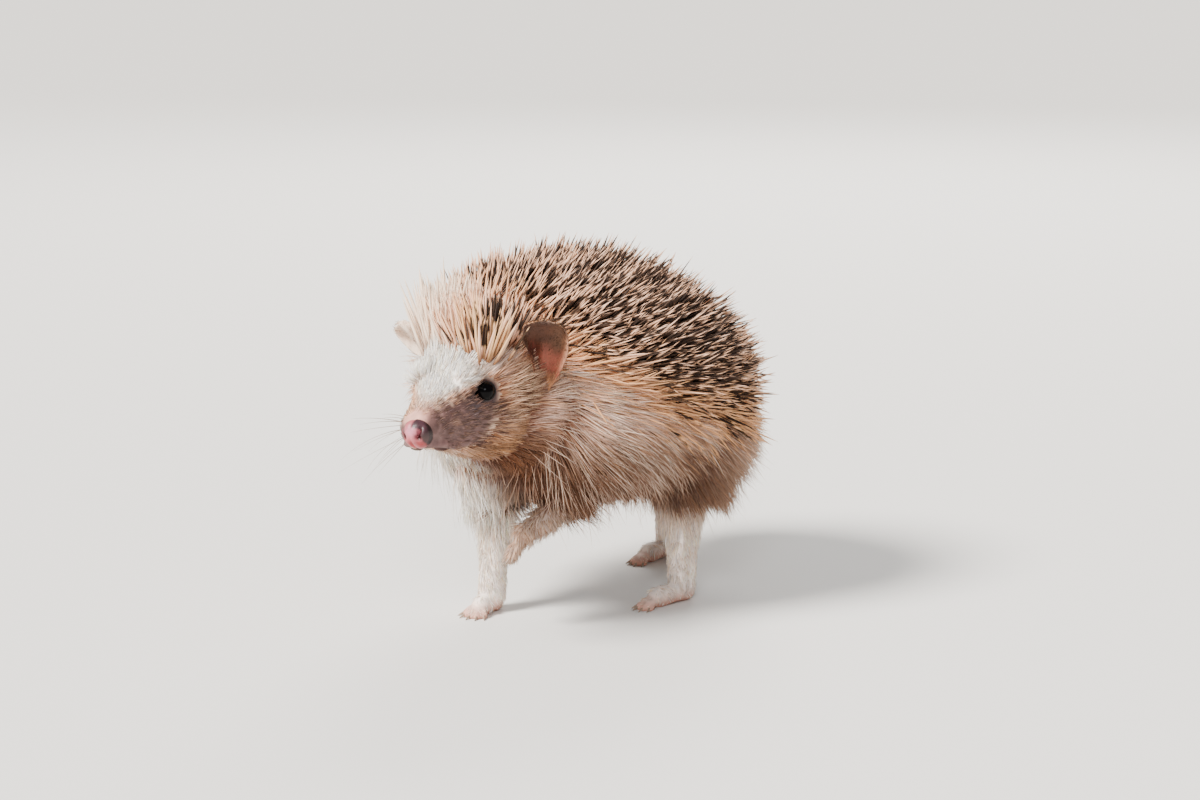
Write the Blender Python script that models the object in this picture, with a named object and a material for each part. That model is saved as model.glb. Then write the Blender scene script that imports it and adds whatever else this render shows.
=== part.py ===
"""African pygmy (four-toed) hedgehog, life size, walking with its left forefoot lifted.

The animal is blocked out whole from oval lofts, ellipsoids and tapered limbs, fused into one
body, and then parted into its named pieces by thin blades. The surfaces reach out to the tips
of the quills and the fur. The animal faces -Y, its left side is +X and it stands on Z = 0.
"""

import math
from collections import namedtuple

import bmesh
import bpy
from mathutils import Euler, Matrix, Vector

MM = 0.001

# Driving sizes, in millimetres.
EYE_RADIUS = 2.5
NOSE_SIZE = (4.0, 3.0, 3.8)
EAR_WIDTH = 12
EAR_HEIGHT = 17
EAR_THICKNESS = 1.2
TOE_RADIUS = 1.25
BLADE_GAP = 0.3

# How finely the fused body is worked out, and how far it is thinned for the solids.
FUSE_VOXEL = 0.9
SMOOTH_PASSES = 8
FUSED_TRIANGLES = 4700

# The model is moved so that the middle of its footprint is the origin.
TO_ORIGIN = Vector((0, 5.5, 0))

# The head's own frame: its origin is midway between the ears and its nose points to -Y.
HEAD_CENTRE = Vector((7.5, -43.6, 67.3))
HEAD_TURN = math.radians(19)
HEAD_PITCH = math.radians(0)
HEAD_ROLL = math.radians(-4)

FLESH = (0.78, 0.62, 0.55)
FUR = (0.86, 0.80, 0.71)
QUILL = (0.62, 0.52, 0.42)
EYE_BLACK = (0.01, 0.01, 0.012)

Oval = namedtuple("Oval", "along half_width rise drop lift")


def head_frame():
    """The head's place and turn on the neck."""
    turn = Euler((HEAD_PITCH, HEAD_ROLL, HEAD_TURN), "YXZ").to_matrix().to_4x4()
    return Matrix.Translation(HEAD_CENTRE) @ turn


def smoothed(knots, at):
    """Value at a place along a monotone cubic through (place, value) knots."""
    places = [k[0] for k in knots]
    values = [k[1] for k in knots]
    slopes = [
        (values[i + 1] - values[i]) / (places[i + 1] - places[i])
        for i in range(len(knots) - 1)
    ]
    tangents = [slopes[0]]
    for before, after in zip(slopes, slopes[1:]):
        level = before * after <= 0
        tangents.append(0 if level else 2 * before * after / (before + after))
    tangents.append(slopes[-1])
    i = max(0, min(len(slopes) - 1, sum(at >= p for p in places) - 1))
    width = places[i + 1] - places[i]
    t = max(0.0, min(1.0, (at - places[i]) / width))
    return (
        (1 + 2 * t) * (1 - t) ** 2 * values[i]
        + t * (1 - t) ** 2 * width * tangents[i]
        + t * t * (3 - 2 * t) * values[i + 1]
        + t * t * (t - 1) * width * tangents[i + 1]
    )


def link(name, bm, colour, roughness=0.7):
    """A bmesh in millimetres becomes a named object in metres with its own material."""
    bmesh.ops.recalc_face_normals(bm, faces=bm.faces)
    bmesh.ops.scale(bm, vec=(MM, MM, MM), verts=bm.verts)
    mesh = bpy.data.meshes.new(name)
    bm.to_mesh(mesh)
    bm.free()
    piece = bpy.data.objects.new(name, mesh)
    bpy.context.scene.collection.objects.link(piece)
    material = bpy.data.materials.new(name)
    material.use_nodes = True
    shader = material.node_tree.nodes["Principled BSDF"]
    shader.inputs["Base Color"].default_value = (*colour, 1)
    shader.inputs["Roughness"].default_value = roughness
    shader.inputs["Metallic"].default_value = 0
    mesh.materials.append(material)
    return piece


def add_loft(bm, ovals, place=Matrix(), fullness=2.0, rings=26, sides=28):
    """A closed body through oval sections along -Y; fullness over 2 squares off the lower half."""
    first, last = ovals[0].along, ovals[-1].along
    loops = []
    for i in range(rings):
        at = first + (last - first) * (0.5 - 0.5 * math.cos(math.pi * (i + 0.5) / rings))
        oval = Oval(at, *[smoothed([(o.along, o[k]) for o in ovals], at) for k in range(1, 5)])
        ring = []
        for j in range(sides):
            angle = 2 * math.pi * j / sides
            c, s = math.cos(angle), math.sin(angle)
            height = oval.rise if s > 0 else oval.drop
            power = 2 if s > 0 else fullness
            reach = (abs(c) ** power + abs(s) ** power) ** (-1 / power)
            point = Vector((oval.half_width * c * reach, -at, oval.lift + height * s * reach))
            ring.append(bm.verts.new(place @ point))
        loops.append([bm.edges.new((ring[k - 1], ring[k])) for k in range(sides)])
    for before, after in zip(loops, loops[1:]):
        bmesh.ops.bridge_loops(bm, edges=before + after)
    bmesh.ops.edgeloop_fill(bm, edges=loops[0])
    bmesh.ops.edgeloop_fill(bm, edges=loops[-1])


def add_ellipsoid(bm, centre, radii, place=Matrix(), turn=(0, 0, 0)):
    """An ellipsoid of the given half sizes, turned by degrees about its own centre."""
    spin = Euler([math.radians(a) for a in turn]).to_matrix().to_4x4()
    matrix = place @ Matrix.Translation(centre) @ spin @ Matrix.Diagonal((*radii, 1))
    bmesh.ops.create_uvsphere(bm, u_segments=32, v_segments=20, radius=1, matrix=matrix)


def add_limb(bm, joints, place=Matrix(), steps=8):
    """A tapered limb through (point, radius) joints, with a round end at each end."""
    last = len(joints) - 1
    for n in range(last * steps + 1):
        at = n / steps
        centre = [smoothed([(i, joint[0][c]) for i, joint in enumerate(joints)], at) for c in range(3)]
        radius = smoothed([(i, joint[1]) for i, joint in enumerate(joints)], at)
        matrix = place @ Matrix.Translation(centre)
        bmesh.ops.create_icosphere(bm, subdivisions=2, radius=radius, matrix=matrix)


def add_foot(bm, heel, ball, toes, spread, toe_length, droop=0.0):
    """A sole from heel to ball and its toes, fanned about the foot's own direction."""
    heel, ball = Vector(heel), Vector(ball)
    add_limb(bm, [(heel, 3.2), ((heel + ball) / 2, 3.0), (ball, 3.3)])
    forward = (ball - heel).normalized()
    for n in range(toes):
        share = n / (toes - 1) - 0.5
        turn = Matrix.Rotation(math.radians(spread * share), 3, "Z")
        way = turn @ forward
        length = toe_length * (1 - 0.9 * share * share)
        root = ball + way * 1.5 - Vector((0, 0, 0.6))
        tip = ball + way * (2.2 + length) - Vector((0, 0, 1.6 + droop))
        add_limb(bm, [(root, 1.7), ((root + tip) / 2, TOE_RADIUS), (tip, TOE_RADIUS * 0.85)])


# --- The animal's masses -----------------------------------------------------------------------

# Trunk sections from the rump to the shoulders: half width, then reach above and below an axis.
TRUNK = [
    Oval(-60, 0.5, 1, 1, 48),
    Oval(-57, 12, 9, 10, 48),
    Oval(-51, 21.5, 15.5, 15, 49),
    Oval(-38, 30.5, 25.5, 22, 52),
    Oval(-22, 36, 33, 26.5, 55),
    Oval(-6, 39.6, 37.5, 29, 57.5),
    Oval(10, 38.8, 38.5, 29, 58),
    Oval(24, 33.6, 37.5, 28, 58),
    Oval(36, 23, 32, 24, 58),
    Oval(44, 14, 23, 16, 59),
    Oval(48, 8, 14, 9, 60),
    Oval(51, 0.5, 1, 1, 61),
]

# Head sections in the head's frame, from the nape to the tip of the muzzle.
HEAD = [
    Oval(-18, 8, 9, 9, -2),
    Oval(-14, 15, 17, 17, -3),
    Oval(-8, 17, 19, 19, -4),
    Oval(0, 15.5, 18, 18, -4),
    Oval(6, 13.4, 16, 15.5, -4.5),
    Oval(11, 11.5, 14, 13, -5.5),
    Oval(16, 9.5, 11.2, 10, -7),
    Oval(21, 7.8, 8.8, 7.5, -8),
    Oval(26, 6.1, 6.1, 5.5, -8.5),
    Oval(29, 5, 4.6, 4.6, -8.5),
    Oval(31, 3.4, 3.2, 3.2, -8.5),
]

# Places in the head's frame, on the +X side where there are two.
EYE = Vector((9.4, -11.7, -2.0))
NOSE = Vector((0, -30.5, -8.6))
EAR = Vector((17.4, -0.5, -2.6))

# The limbs, from the body to the foot: (point, radius). The left forefoot is lifted in mid-step.
FORELEG_RIGHT = [((-10, -23, 46), 10), ((-9, -22, 28), 5), ((-8, -24, 12), 3.9), ((-8, -24.5, 5), 3.9)]
FORELEG_LEFT = [((14, -22, 46), 10), ((16, -18, 36), 5), ((14, -23, 29.5), 3.6), ((12.5, -26.5, 27), 3.3)]
HINDLEG_LEFT = [((18, 22, 46), 15), ((20, 18, 30), 7.5), ((21, 18, 13), 4.5), ((21, 18, 5), 4.1)]
HINDLEG_RIGHT = [((-14, 38, 46), 15), ((-14, 46, 28), 7), ((-14, 50, 13), 4.5), ((-14, 50, 5), 4.1)]


def block_out():
    """All the flesh and coat as closed, overlapping volumes in one mesh."""
    bm = bmesh.new()
    head = head_frame()
    add_loft(bm, TRUNK, fullness=2.6)
    add_loft(bm, HEAD, head)
    # The crown of quills over the brow, the chest and the short tail.
    add_ellipsoid(bm, (-1, 4, 10), (17, 12, 15), head)
    add_ellipsoid(bm, (2, -31, 45), (16, 13, 15))
    add_limb(bm, [((0, 50, 44), 5), ((0, 58, 39), 3), ((0, 63, 34), 1.8)])
    for leg in (FORELEG_RIGHT, FORELEG_LEFT, HINDLEG_LEFT, HINDLEG_RIGHT):
        add_limb(bm, leg)
    add_foot(bm, (-8, -24, 2.6), (-8.5, -28.5, 2.4), 5, 78, 3.8)
    add_foot(bm, (12.6, -26.3, 27.4), (11, -29.8, 25), 5, 60, 3.2, 1.6)
    add_foot(bm, (21, 19, 2.8), (20.5, 9.5, 2.4), 4, 46, 4.2)
    add_foot(bm, (-14, 51, 2.8), (-13.5, 41.5, 2.4), 4, 46, 4.2)
    return bm


def ear_mesh(side, grow=0.0, steps=8):
    """A cupped ear with rounded rims, in the head's frame; grow makes the seat cut for it."""
    up = Vector((side * 0.26, 0.08, 0.95)).normalized()
    face = Vector((side * 0.6, -0.8, 0.0)).normalized()
    across = up.cross(face).normalized()
    face = across.cross(up)
    base = Vector((side * EAR.x, EAR.y, EAR.z)) - up * grow
    bm = bmesh.new()
    sheets = []
    for sheet in (-1, 1):
        rows = []
        for i in range(steps + 1):
            v = i / steps
            half = EAR_WIDTH / 2 * math.sin(math.pi * (0.2 + 0.76 * v)) ** 0.6 + grow
            row = []
            for j in range(steps + 1):
                u = 2 * j / steps - 1
                cup = 2.6 * (1 - u * u) * (0.4 + 0.6 * math.sin(math.pi * min(v + 0.1, 1)))
                thick = EAR_THICKNESS / 2 * (1 - 0.35 * abs(u) ** 3) + grow
                height = (EAR_HEIGHT + 2 * grow) * v * (1 - 0.06 * u * u)
                point = base + up * height + across * (half * u) - face * (cup - sheet * thick)
                row.append(bm.verts.new(head_frame() @ point))
            rows.append(row)
        sheets.append(rows)
    for rows in sheets:
        for before, after in zip(rows, rows[1:]):
            for j in range(steps):
                bm.faces.new((before[j], before[j + 1], after[j + 1], after[j]))
    back, front = sheets
    for j in range(steps):
        for i in (0, steps):
            bm.faces.new((back[i][j], back[i][j + 1], front[i][j + 1], front[i][j]))
        for i in (0, steps):
            bm.faces.new((back[j][i], back[j + 1][i], front[j + 1][i], front[j][i]))
    return bm


def round_mesh(centre, radii, grow=0.0, segments=20):
    """An ellipsoid in the head's frame; grow makes the seat cut for it."""
    bm = bmesh.new()
    place = head_frame() @ Matrix.Translation(centre) @ Matrix.Diagonal([r + grow for r in radii] + [1])
    bmesh.ops.create_uvsphere(bm, u_segments=segments, v_segments=segments // 2, radius=1, matrix=place)
    return bm


def blade_mesh(centre, normal, radius):
    """A thin disc that parts the body where it stands."""
    bm = bmesh.new()
    turn = Vector(normal).to_track_quat("Z", "Y").to_matrix().to_4x4()
    place = Matrix.Translation(centre) @ turn
    bmesh.ops.create_cone(
        bm, cap_ends=True, segments=24, radius1=radius, radius2=radius, depth=BLADE_GAP, matrix=place
    )
    return bm


# Where the fused body is parted: centre, the way the blade faces and its radius.
BLADES = [
    ((2.6, -35.7, 72), (0.375, -0.927, 0.6), 60),
    ((-1.9, -24.6, 64), (0.375, -0.927, 0.45), 70),
    ((0, 59.5, 38), (0, 0.85, -0.5), 5),
    ((-8.6, -22.5, 26), (0, 0, 1), 9),
    ((14, -23.2, 28.9), (0, 0, 1), 7.5),
    ((20, 18, 25), (0, 0, 1), 12),
    ((-14, 46.5, 24), (0, 0, 1), 12),
    ((-8, -24.5, 7), (0, 0, 1), 7),
    ((21, 18, 8), (0, 0, 1), 9),
    ((-14, 50, 8), (0, 0, 1), 9),
]

# A place inside each parted piece, which names it.
PIECES = {
    "head": (9, -50, 66),
    "neck": (2, -36, 56),
    "trunk": (0, 10, 60),
    "tail": (0, 62, 35.5),
    "foreleg_right": (-8, -23, 16),
    "foreleg_left": (12, -28, 25),
    "hindleg_left": (21, 18, 16),
    "hindleg_right": (-14, 49, 16),
    "forefoot_right": (-8, -27, 3),
    "hindfoot_left": (21, 14, 3),
    "hindfoot_right": (-14, 46, 3),
}


def evaluated(piece):
    """The piece's mesh with its modifiers applied, as a bmesh in metres."""
    bm = bmesh.new()
    bm.from_object(piece, bpy.context.evaluated_depsgraph_get())
    mesh = piece.data
    bpy.data.objects.remove(piece)
    bpy.data.meshes.remove(mesh)
    return bm


def fused(bm):
    """One smooth skin round all the volumes, thinned to the number of triangles asked for."""
    piece = link("fused", bm, FUR)
    remesh = piece.modifiers.new("fuse", "REMESH")
    remesh.mode = "VOXEL"
    remesh.voxel_size = FUSE_VOXEL * MM
    smooth = piece.modifiers.new("smooth", "SMOOTH")
    smooth.factor = 0.5
    smooth.iterations = SMOOTH_PASSES
    bm = evaluated(piece)
    bm.normal_update()
    count = 2 * len(bm.faces)
    bmesh.ops.scale(bm, vec=(1 / MM,) * 3, verts=bm.verts)
    piece = link("thinned", bm, FUR)
    thin = piece.modifiers.new("thin", "DECIMATE")
    thin.ratio = FUSED_TRIANGLES / count
    bm = evaluated(piece)
    bmesh.ops.scale(bm, vec=(1 / MM,) * 3, verts=bm.verts)
    return bm


def level_soles(bm):
    """Cuts everything under the floor away, which leaves the small flats it stands on."""
    geometry = bm.verts[:] + bm.edges[:] + bm.faces[:]
    cut = bmesh.ops.bisect_plane(
        bm, geom=geometry, dist=1e-4, plane_co=(0, 0, 0), plane_no=(0, 0, -1), clear_outer=True
    )
    rim = [e for e in cut["geom_cut"] if isinstance(e, bmesh.types.BMEdge)]
    bmesh.ops.holes_fill(bm, edges=rim, sides=0)
    bmesh.ops.triangulate(bm, faces=bm.faces)


def cut_from(piece, cutters):
    """The piece with every cutter taken out of it, as a bmesh in millimetres."""
    tools = []
    for n, cutter in enumerate(cutters):
        tool = link(f"cutter{n}", cutter, FLESH)
        cut = piece.modifiers.new(tool.name, "BOOLEAN")
        cut.operation = "DIFFERENCE"
        cut.solver = "EXACT"
        cut.object = tool
        tools.append(tool)
    bm = evaluated(piece)
    for tool in tools:
        bpy.data.objects.remove(tool)
    bmesh.ops.scale(bm, vec=(1 / MM,) * 3, verts=bm.verts)
    return bm


def loose_pieces(bm):
    """Each separate body of the mesh as its own bmesh."""
    left = set(bm.verts)
    pieces = []
    while left:
        front = [min(left, key=lambda v: v.index)]
        found = set(front)
        while front:
            vert = front.pop()
            for edge in vert.link_edges:
                other = edge.other_vert(vert)
                if other not in found:
                    found.add(other)
                    front.append(other)
        left -= found
        pieces.append(found)
    made = []
    for found in pieces:
        copy = bmesh.new()
        places = {v: copy.verts.new(v.co) for v in sorted(found, key=lambda v: v.index)}
        for face in bm.faces:
            if face.verts[0] in found:
                copy.faces.new([places[v] for v in face.verts])
        made.append(copy)
    return made


def volume_middle(bm):
    """The middle of the body's bounding box and its length."""
    low = Vector([min(v.co[i] for v in bm.verts) for i in range(3)])
    high = Vector([max(v.co[i] for v in bm.verts) for i in range(3)])
    return (low + high) / 2, (high - low).length


def clear_scene():
    for old in list(bpy.data.objects):
        bpy.data.objects.remove(old)


def main():
    clear_scene()
    body = fused(block_out())
    level_soles(body)
    body = link("body", body, FUR)
    cutters = [blade_mesh(*blade) for blade in BLADES]
    for side in (-1, 1):
        cutters.append(ear_mesh(side, BLADE_GAP))
        cutters.append(round_mesh((side * EYE.x, EYE.y, EYE.z), (EYE_RADIUS,) * 3, BLADE_GAP))
    cutters.append(round_mesh(NOSE, NOSE_SIZE, BLADE_GAP))
    pieces = loose_pieces(cut_from(body, cutters))
    for piece in pieces:
        middle, size = volume_middle(piece)
        name = min(PIECES, key=lambda n: (Vector(PIECES[n]) - middle).length)
        print("piece", name, tuple(round(c, 1) for c in middle), round(size, 1), len(piece.faces))
        bmesh.ops.translate(piece, vec=TO_ORIGIN, verts=piece.verts)
        link(name, piece, FUR)
    for side, word in ((-1, "right"), (1, "left")):
        eye = round_mesh((side * EYE.x, EYE.y, EYE.z), (EYE_RADIUS,) * 3)
        bmesh.ops.translate(eye, vec=TO_ORIGIN, verts=eye.verts)
        link(f"eye_{word}", eye, EYE_BLACK, 0.1)
        ear = ear_mesh(side)
        bmesh.ops.translate(ear, vec=TO_ORIGIN, verts=ear.verts)
        link(f"ear_{word}", ear, FLESH)
    nose = round_mesh(NOSE, NOSE_SIZE)
    bmesh.ops.translate(nose, vec=TO_ORIGIN, verts=nose.verts)
    link("nose", nose, FLESH, 0.4)


main()
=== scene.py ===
"""Looks of the African pygmy hedgehog: skin, quills, fur, face, claws, floor, light and camera.

Shapes are worked out in millimetres in the animal's own space, where it faces -Y and stands on
Z = 0, and are moved to the CAD's place when they are linked.
"""

import math
from collections import namedtuple

import bmesh
import bpy
import numpy as np
from mathutils import Euler, Matrix, Vector, noise
from mathutils.kdtree import KDTree


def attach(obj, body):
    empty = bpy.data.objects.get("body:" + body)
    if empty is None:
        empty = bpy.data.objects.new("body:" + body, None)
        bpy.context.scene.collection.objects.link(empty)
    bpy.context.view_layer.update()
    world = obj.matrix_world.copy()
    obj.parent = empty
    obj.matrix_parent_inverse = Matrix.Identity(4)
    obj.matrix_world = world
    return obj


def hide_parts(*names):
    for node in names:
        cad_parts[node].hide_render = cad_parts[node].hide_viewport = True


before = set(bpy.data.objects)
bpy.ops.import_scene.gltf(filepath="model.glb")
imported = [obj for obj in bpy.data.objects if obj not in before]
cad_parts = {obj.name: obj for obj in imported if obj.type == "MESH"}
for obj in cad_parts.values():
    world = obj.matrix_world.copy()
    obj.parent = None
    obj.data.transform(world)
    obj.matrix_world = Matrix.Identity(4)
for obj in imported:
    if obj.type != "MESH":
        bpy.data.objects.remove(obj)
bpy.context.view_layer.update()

MM = 0.001
# The CAD has the middle of the footprint at its origin.
TO_ORIGIN = Vector((0, 5.5, 0))

HEAD_CENTRE = Vector((7.5, -43.6, 67.3))
HEAD_TURN = math.radians(19)
HEAD_ROLL = math.radians(-4)
HEAD = Matrix.Translation(HEAD_CENTRE) @ Euler((0, HEAD_ROLL, HEAD_TURN), "YXZ").to_matrix().to_4x4()
HEAD_BACK = np.array(HEAD.inverted())
# Turns rows of directions out of the head's frame.
HEAD_WAYS = np.array(HEAD)[:3, :3].T

# Places in the head's frame, on the +X side where there are two.
EYE = Vector((9.2, -11.3, -2.0))
EYE_RADIUS = 2.4
EYE_AXIS = Vector((0.74, -0.64, 0.20)).normalized()
NOSE = Vector((0.5, -29.3, -9.1))
NOSE_SIZE = Vector((3.9, 3.7, 3.8))

# Half widths of an ear from its root, 0, to its tip, 1, towards the face and away from it.
EAR_FRONT = [(0, 0.8), (0.2, 1.2), (0.4, 2.2), (0.6, 4.0), (0.8, 5.6), (0.93, 5.6), (1.0, 2.6)]
EAR_BACK = [(0, 3.0), (0.2, 5.0), (0.4, 6.3), (0.6, 7.2), (0.8, 6.9), (0.93, 5.4), (1.0, 2.8)]

# Fineness of the voxels that fuse the flesh, in millimetres.
BODY_VOXEL = 0.7
LEG_VOXEL = 0.42
# Heights above the floor below which nothing of the skin or the coat may fall.
SKIN_CLEARANCE = 0.02
HAIR_CLEARANCE = 0.03

# Quills: their length over the back, their half width and the gaps between their roots.
QUILL_LENGTH = 15.6
QUILL_HALF_WIDTH = 0.31
BACK_GAP = 0.70
CROWN_GAP = 0.60
# Where the crown's quills give way to the back's: millimetres ahead of the head's middle.
CROWN_END = -9

# Side of the patch that each tuft takes on the skin's unwrap.
TUFT_PATCH = 0.003

# The view: its turn round the animal, its rise, its distance in metres and its lens.
VIEW_TURN = math.radians(45)
VIEW_RISE = math.radians(11)
VIEW_DISTANCE = 0.65
VIEW_LENS = 74
SENSOR_WIDTH = 36

Oval = namedtuple("Oval", "along half_width rise drop lift")

# --- Colours, as linear light ------------------------------------------------------------------
# Fur, hair and bristles.
WARM_FUR = (0.74, 0.45, 0.32)
WHITE_FUR = (0.97, 0.92, 0.86)
CREAM_FUR = (0.94, 0.64, 0.44)
LOW_SHADE_TAN = (0.62, 0.32, 0.15)
BROWN_FUR = (0.12, 0.05, 0.025)
NECK_FUR = (0.93, 0.66, 0.51)
RUMP_GREY_AND_SHADE = (0.42, 0.31, 0.25)
CHEST_FUR = (0.97, 0.85, 0.74)
UNDER_JAW_SHADE = (0.19, 0.08, 0.038)
CHEEK_FUR = (0.70, 0.42, 0.26)
THROAT_SHADE = (0.42, 0.21, 0.10)
MUZZLE_DARK_HAIR = (0.070, 0.040, 0.036)
MUZZLE_PALE_HAIR = (0.21, 0.125, 0.108)
EAR_ROOT_SHADE_FUR = (0.09, 0.035, 0.02)
LEG_FUR = (0.97, 0.83, 0.72)
THIGH_FUR = (0.60, 0.42, 0.31)
FOLDED_LEG_SHADE_FUR = (0.48, 0.32, 0.23)
GUARD_PALE = (0.95, 0.74, 0.60)
GUARD_LOW_SHADE = (0.40, 0.23, 0.15)
FRINGE_PALE = (0.80, 0.53, 0.36)
EAR_LOW_HAIR = (0.34, 0.16, 0.09)
EAR_HIGH_HAIR = (0.10, 0.05, 0.028)
RIGHT_EAR_HAIR = (0.92, 0.76, 0.62)
RIGHT_GROOVE_HAIR = (0.20, 0.06, 0.02)
# Quills, and what shades the roots of quills and hairs.
CREAM_QUILL = (0.93, 0.52, 0.32)
TAN_QUILL = (0.80, 0.42, 0.20)
CROWN_QUILL = (0.97, 0.79, 0.62)
GOLDEN_QUILL = (0.80, 0.48, 0.22)
DARK_BAND = (0.012, 0.004, 0.002)
QUILL_SHADE = (0.20, 0.09, 0.05)
FUR_SHADE = (0.33, 0.16, 0.10)
FACE_SHADE = (0.66, 0.47, 0.37)
# Skin.
PINK_SKIN = (0.62, 0.33, 0.25)
UNDERCOAT_SKIN = (0.26, 0.14, 0.09)
BACK_SKIN = (0.20, 0.13, 0.10)
FOLDED_LEG_SHADE_SKIN = (0.42, 0.27, 0.19)
MUZZLE_SKIN = (0.100, 0.048, 0.047)
MUZZLE_DARK_SKIN = (0.062, 0.028, 0.026)
MUZZLE_PALE_SKIN = (0.30, 0.17, 0.15)
LIP_SKIN = (0.20, 0.105, 0.10)
BRIDGE_PINK_AND_HIGHLIGHT = (0.62, 0.31, 0.25)
DUSTED_SKIN = (0.42, 0.24, 0.17)
EYE_RIM_SKIN = (0.085, 0.050, 0.050)
EYE_BAG_SKIN = (0.075, 0.058, 0.068)
UNDER_EYE_SHADOW = (0.025, 0.013, 0.012)
MOUTH_CREASE_SHADE = (0.05, 0.012, 0.010)
LID_SKIN = (0.006, 0.004, 0.004)
LID_EDGE_SKIN = (0.085, 0.046, 0.044)
# Nose pad.
NOSE_PINK = (0.47, 0.12, 0.135)
NOSE_RED = (0.30, 0.022, 0.025)
NOSE_LILAC = (0.50, 0.21, 0.30)
NOSE_GREY = (0.024, 0.013, 0.019)
NOSE_BROWN = (0.07, 0.035, 0.028)
NOSE_CREASE_SHADE = (0.016, 0.005, 0.005)
NOSTRIL_RED = (0.030, 0.0006, 0.002)
# Ears.
EAR_TAN = (0.55, 0.26, 0.12)
EAR_PINK = (0.27, 0.068, 0.040)
EAR_BROWN = (0.064, 0.021, 0.009)
EAR_BACK_BROWN = (0.17, 0.08, 0.04)
EAR_PIT_SHADE = (0.045, 0.005, 0.003)
EAR_WARM_RIM = (0.42, 0.20, 0.12)
EAR_RIM_SHADE = (0.12, 0.07, 0.055)
RIGHT_EAR_GROOVE = (0.12, 0.030, 0.010)
RIGHT_EAR_RIM = (0.93, 0.74, 0.60)
# Horn, eyes and studio.
EYE_BLACK = (0.002, 0.0015, 0.0018)
CLAW_HORN = (0.42, 0.30, 0.22)
WHISKER_HORN = (0.30, 0.22, 0.17)
FLOOR_WHITE = (0.80, 0.79, 0.77)
SUN_LIGHT = (1.0, 0.95, 0.89)
FILL_LIGHT = (0.96, 0.98, 1.0)
RIM_LIGHT = (1.0, 0.98, 0.95)
SKY_LIGHT = (1.0, 0.97, 0.94)


# --- Working with numbers ----------------------------------------------------------------------
def ramp(value, low, high):
    """0 below low, 1 above high, and smooth between them."""
    t = np.clip((np.asarray(value, float) - low) / (high - low), 0, 1)
    return t * t * (3 - 2 * t)


def mix(a, b, share):
    """Blends rows of a and b by a share per row."""
    share = np.asarray(share)[..., None]
    return np.asarray(a) * (1 - share) + np.asarray(b) * share


def unit(ways):
    """The ways at a length of 1."""
    return ways / np.maximum(np.linalg.norm(ways, axis=-1, keepdims=True), 1e-9)


def dots(a, b):
    """The dot product of each row of a with the same row of b."""
    return (a * b).sum(-1)


def near(*gaps):
    """1 where every gap is nothing, falling off to 0 over gaps of about 1 either way."""
    return np.exp(-sum(gap**2 for gap in gaps))


def rows(colour, count):
    """The same colour for each of so many points."""
    return np.tile(colour, (count, 1))


def to_head(points):
    """Points in the head's frame: side, back from between the ears, and up."""
    return points @ HEAD_BACK[:3, :3].T + HEAD_BACK[:3, 3]


def smoothed(knots, at):
    """Value at a place along a monotone cubic through (place, value) knots."""
    places = [k[0] for k in knots]
    values = [k[1] for k in knots]
    slopes = [
        (values[i + 1] - values[i]) / (places[i + 1] - places[i])
        for i in range(len(knots) - 1)
    ]
    tangents = [slopes[0]]
    for before, after in zip(slopes, slopes[1:]):
        level = before * after <= 0
        tangents.append(0 if level else 2 * before * after / (before + after))
    tangents.append(slopes[-1])
    i = max(0, min(len(slopes) - 1, sum(at >= p for p in places) - 1))
    width = places[i + 1] - places[i]
    t = max(0.0, min(1.0, (at - places[i]) / width))
    return (
        (1 + 2 * t) * (1 - t) ** 2 * values[i]
        + t * (1 - t) ** 2 * width * tangents[i]
        + t * t * (3 - 2 * t) * values[i + 1]
        + t * t * (t - 1) * width * tangents[i + 1]
    )


def cloudiness(points, size, seed):
    """Smooth noise of about -1 to 1 over features of the given size."""
    shift = Vector((seed * 17.3, seed * 5.1, seed * 9.7))
    return np.array([noise.noise(Vector(p) / size + shift) for p in points])


# --- Making objects ----------------------------------------------------------------------------
def settle(piece, slot, *nodes):
    """Every piece rides on the one body and may stand for CAD nodes; slot is not used."""
    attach(piece, "root")
    if nodes:
        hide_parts(*nodes)
    return piece


def add_object(name, data):
    """A new object in the scene, for a mesh, a lamp or a camera."""
    made = bpy.data.objects.new(name, data)
    bpy.context.scene.collection.objects.link(made)
    return made


def point_along(made, way):
    """Turns a lamp or a camera to look the given way."""
    made.rotation_mode = "QUATERNION"
    made.rotation_quaternion = Vector(way).to_track_quat("-Z", "Y")


def link(name, bm, material=None):
    """A bmesh in the animal's millimetres becomes a smooth object in the CAD's place."""
    bmesh.ops.translate(bm, vec=TO_ORIGIN, verts=bm.verts)
    bmesh.ops.scale(bm, vec=(MM, MM, MM), verts=bm.verts)
    mesh = bpy.data.meshes.new(name)
    bm.to_mesh(mesh)
    bm.free()
    piece = add_object(name, mesh)
    if material:
        mesh.materials.append(material)
    mesh.shade_smooth()
    return piece


def vectors_of(mesh, what):
    """Rows of the mesh's points, "co", or of their normals, "normal"."""
    flat = np.empty(len(mesh.vertices) * 3)
    mesh.vertices.foreach_get(what, flat)
    return flat.reshape(-1, 3)


def animal_points(mesh):
    """The mesh's points in the animal's millimetres."""
    return vectors_of(mesh, "co") / MM - np.array(TO_ORIGIN)


def paint(mesh, name, colours):
    """A colour for each point, which the material reads by name."""
    layer = mesh.color_attributes.new(name, "FLOAT_COLOR", "POINT")
    rgba = np.ones((len(colours), 4))
    rgba[:, :3] = colours
    layer.data.foreach_set("color", rgba.ravel())


def number(mesh, name, values):
    """A number for each point, which the material reads by name."""
    layer = mesh.attributes.new(name, "FLOAT", "POINT")
    layer.data.foreach_set("value", np.asarray(values, float))


def finish_skin(piece, colours, wetness=0.0):
    """Paints a part of the skin, and says how wet it is."""
    paint(piece.data, "Marking", colours)
    number(piece.data, "Wet", wetness * np.ones(len(colours)))


def wrap_rings(bm, rings):
    """Faces between rings of as many points each."""
    for before, after in zip(rings, rings[1:]):
        for j in range(len(before)):
            k = (j + 1) % len(before)
            bm.faces.new((before[j], before[k], after[k], after[j]))


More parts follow.
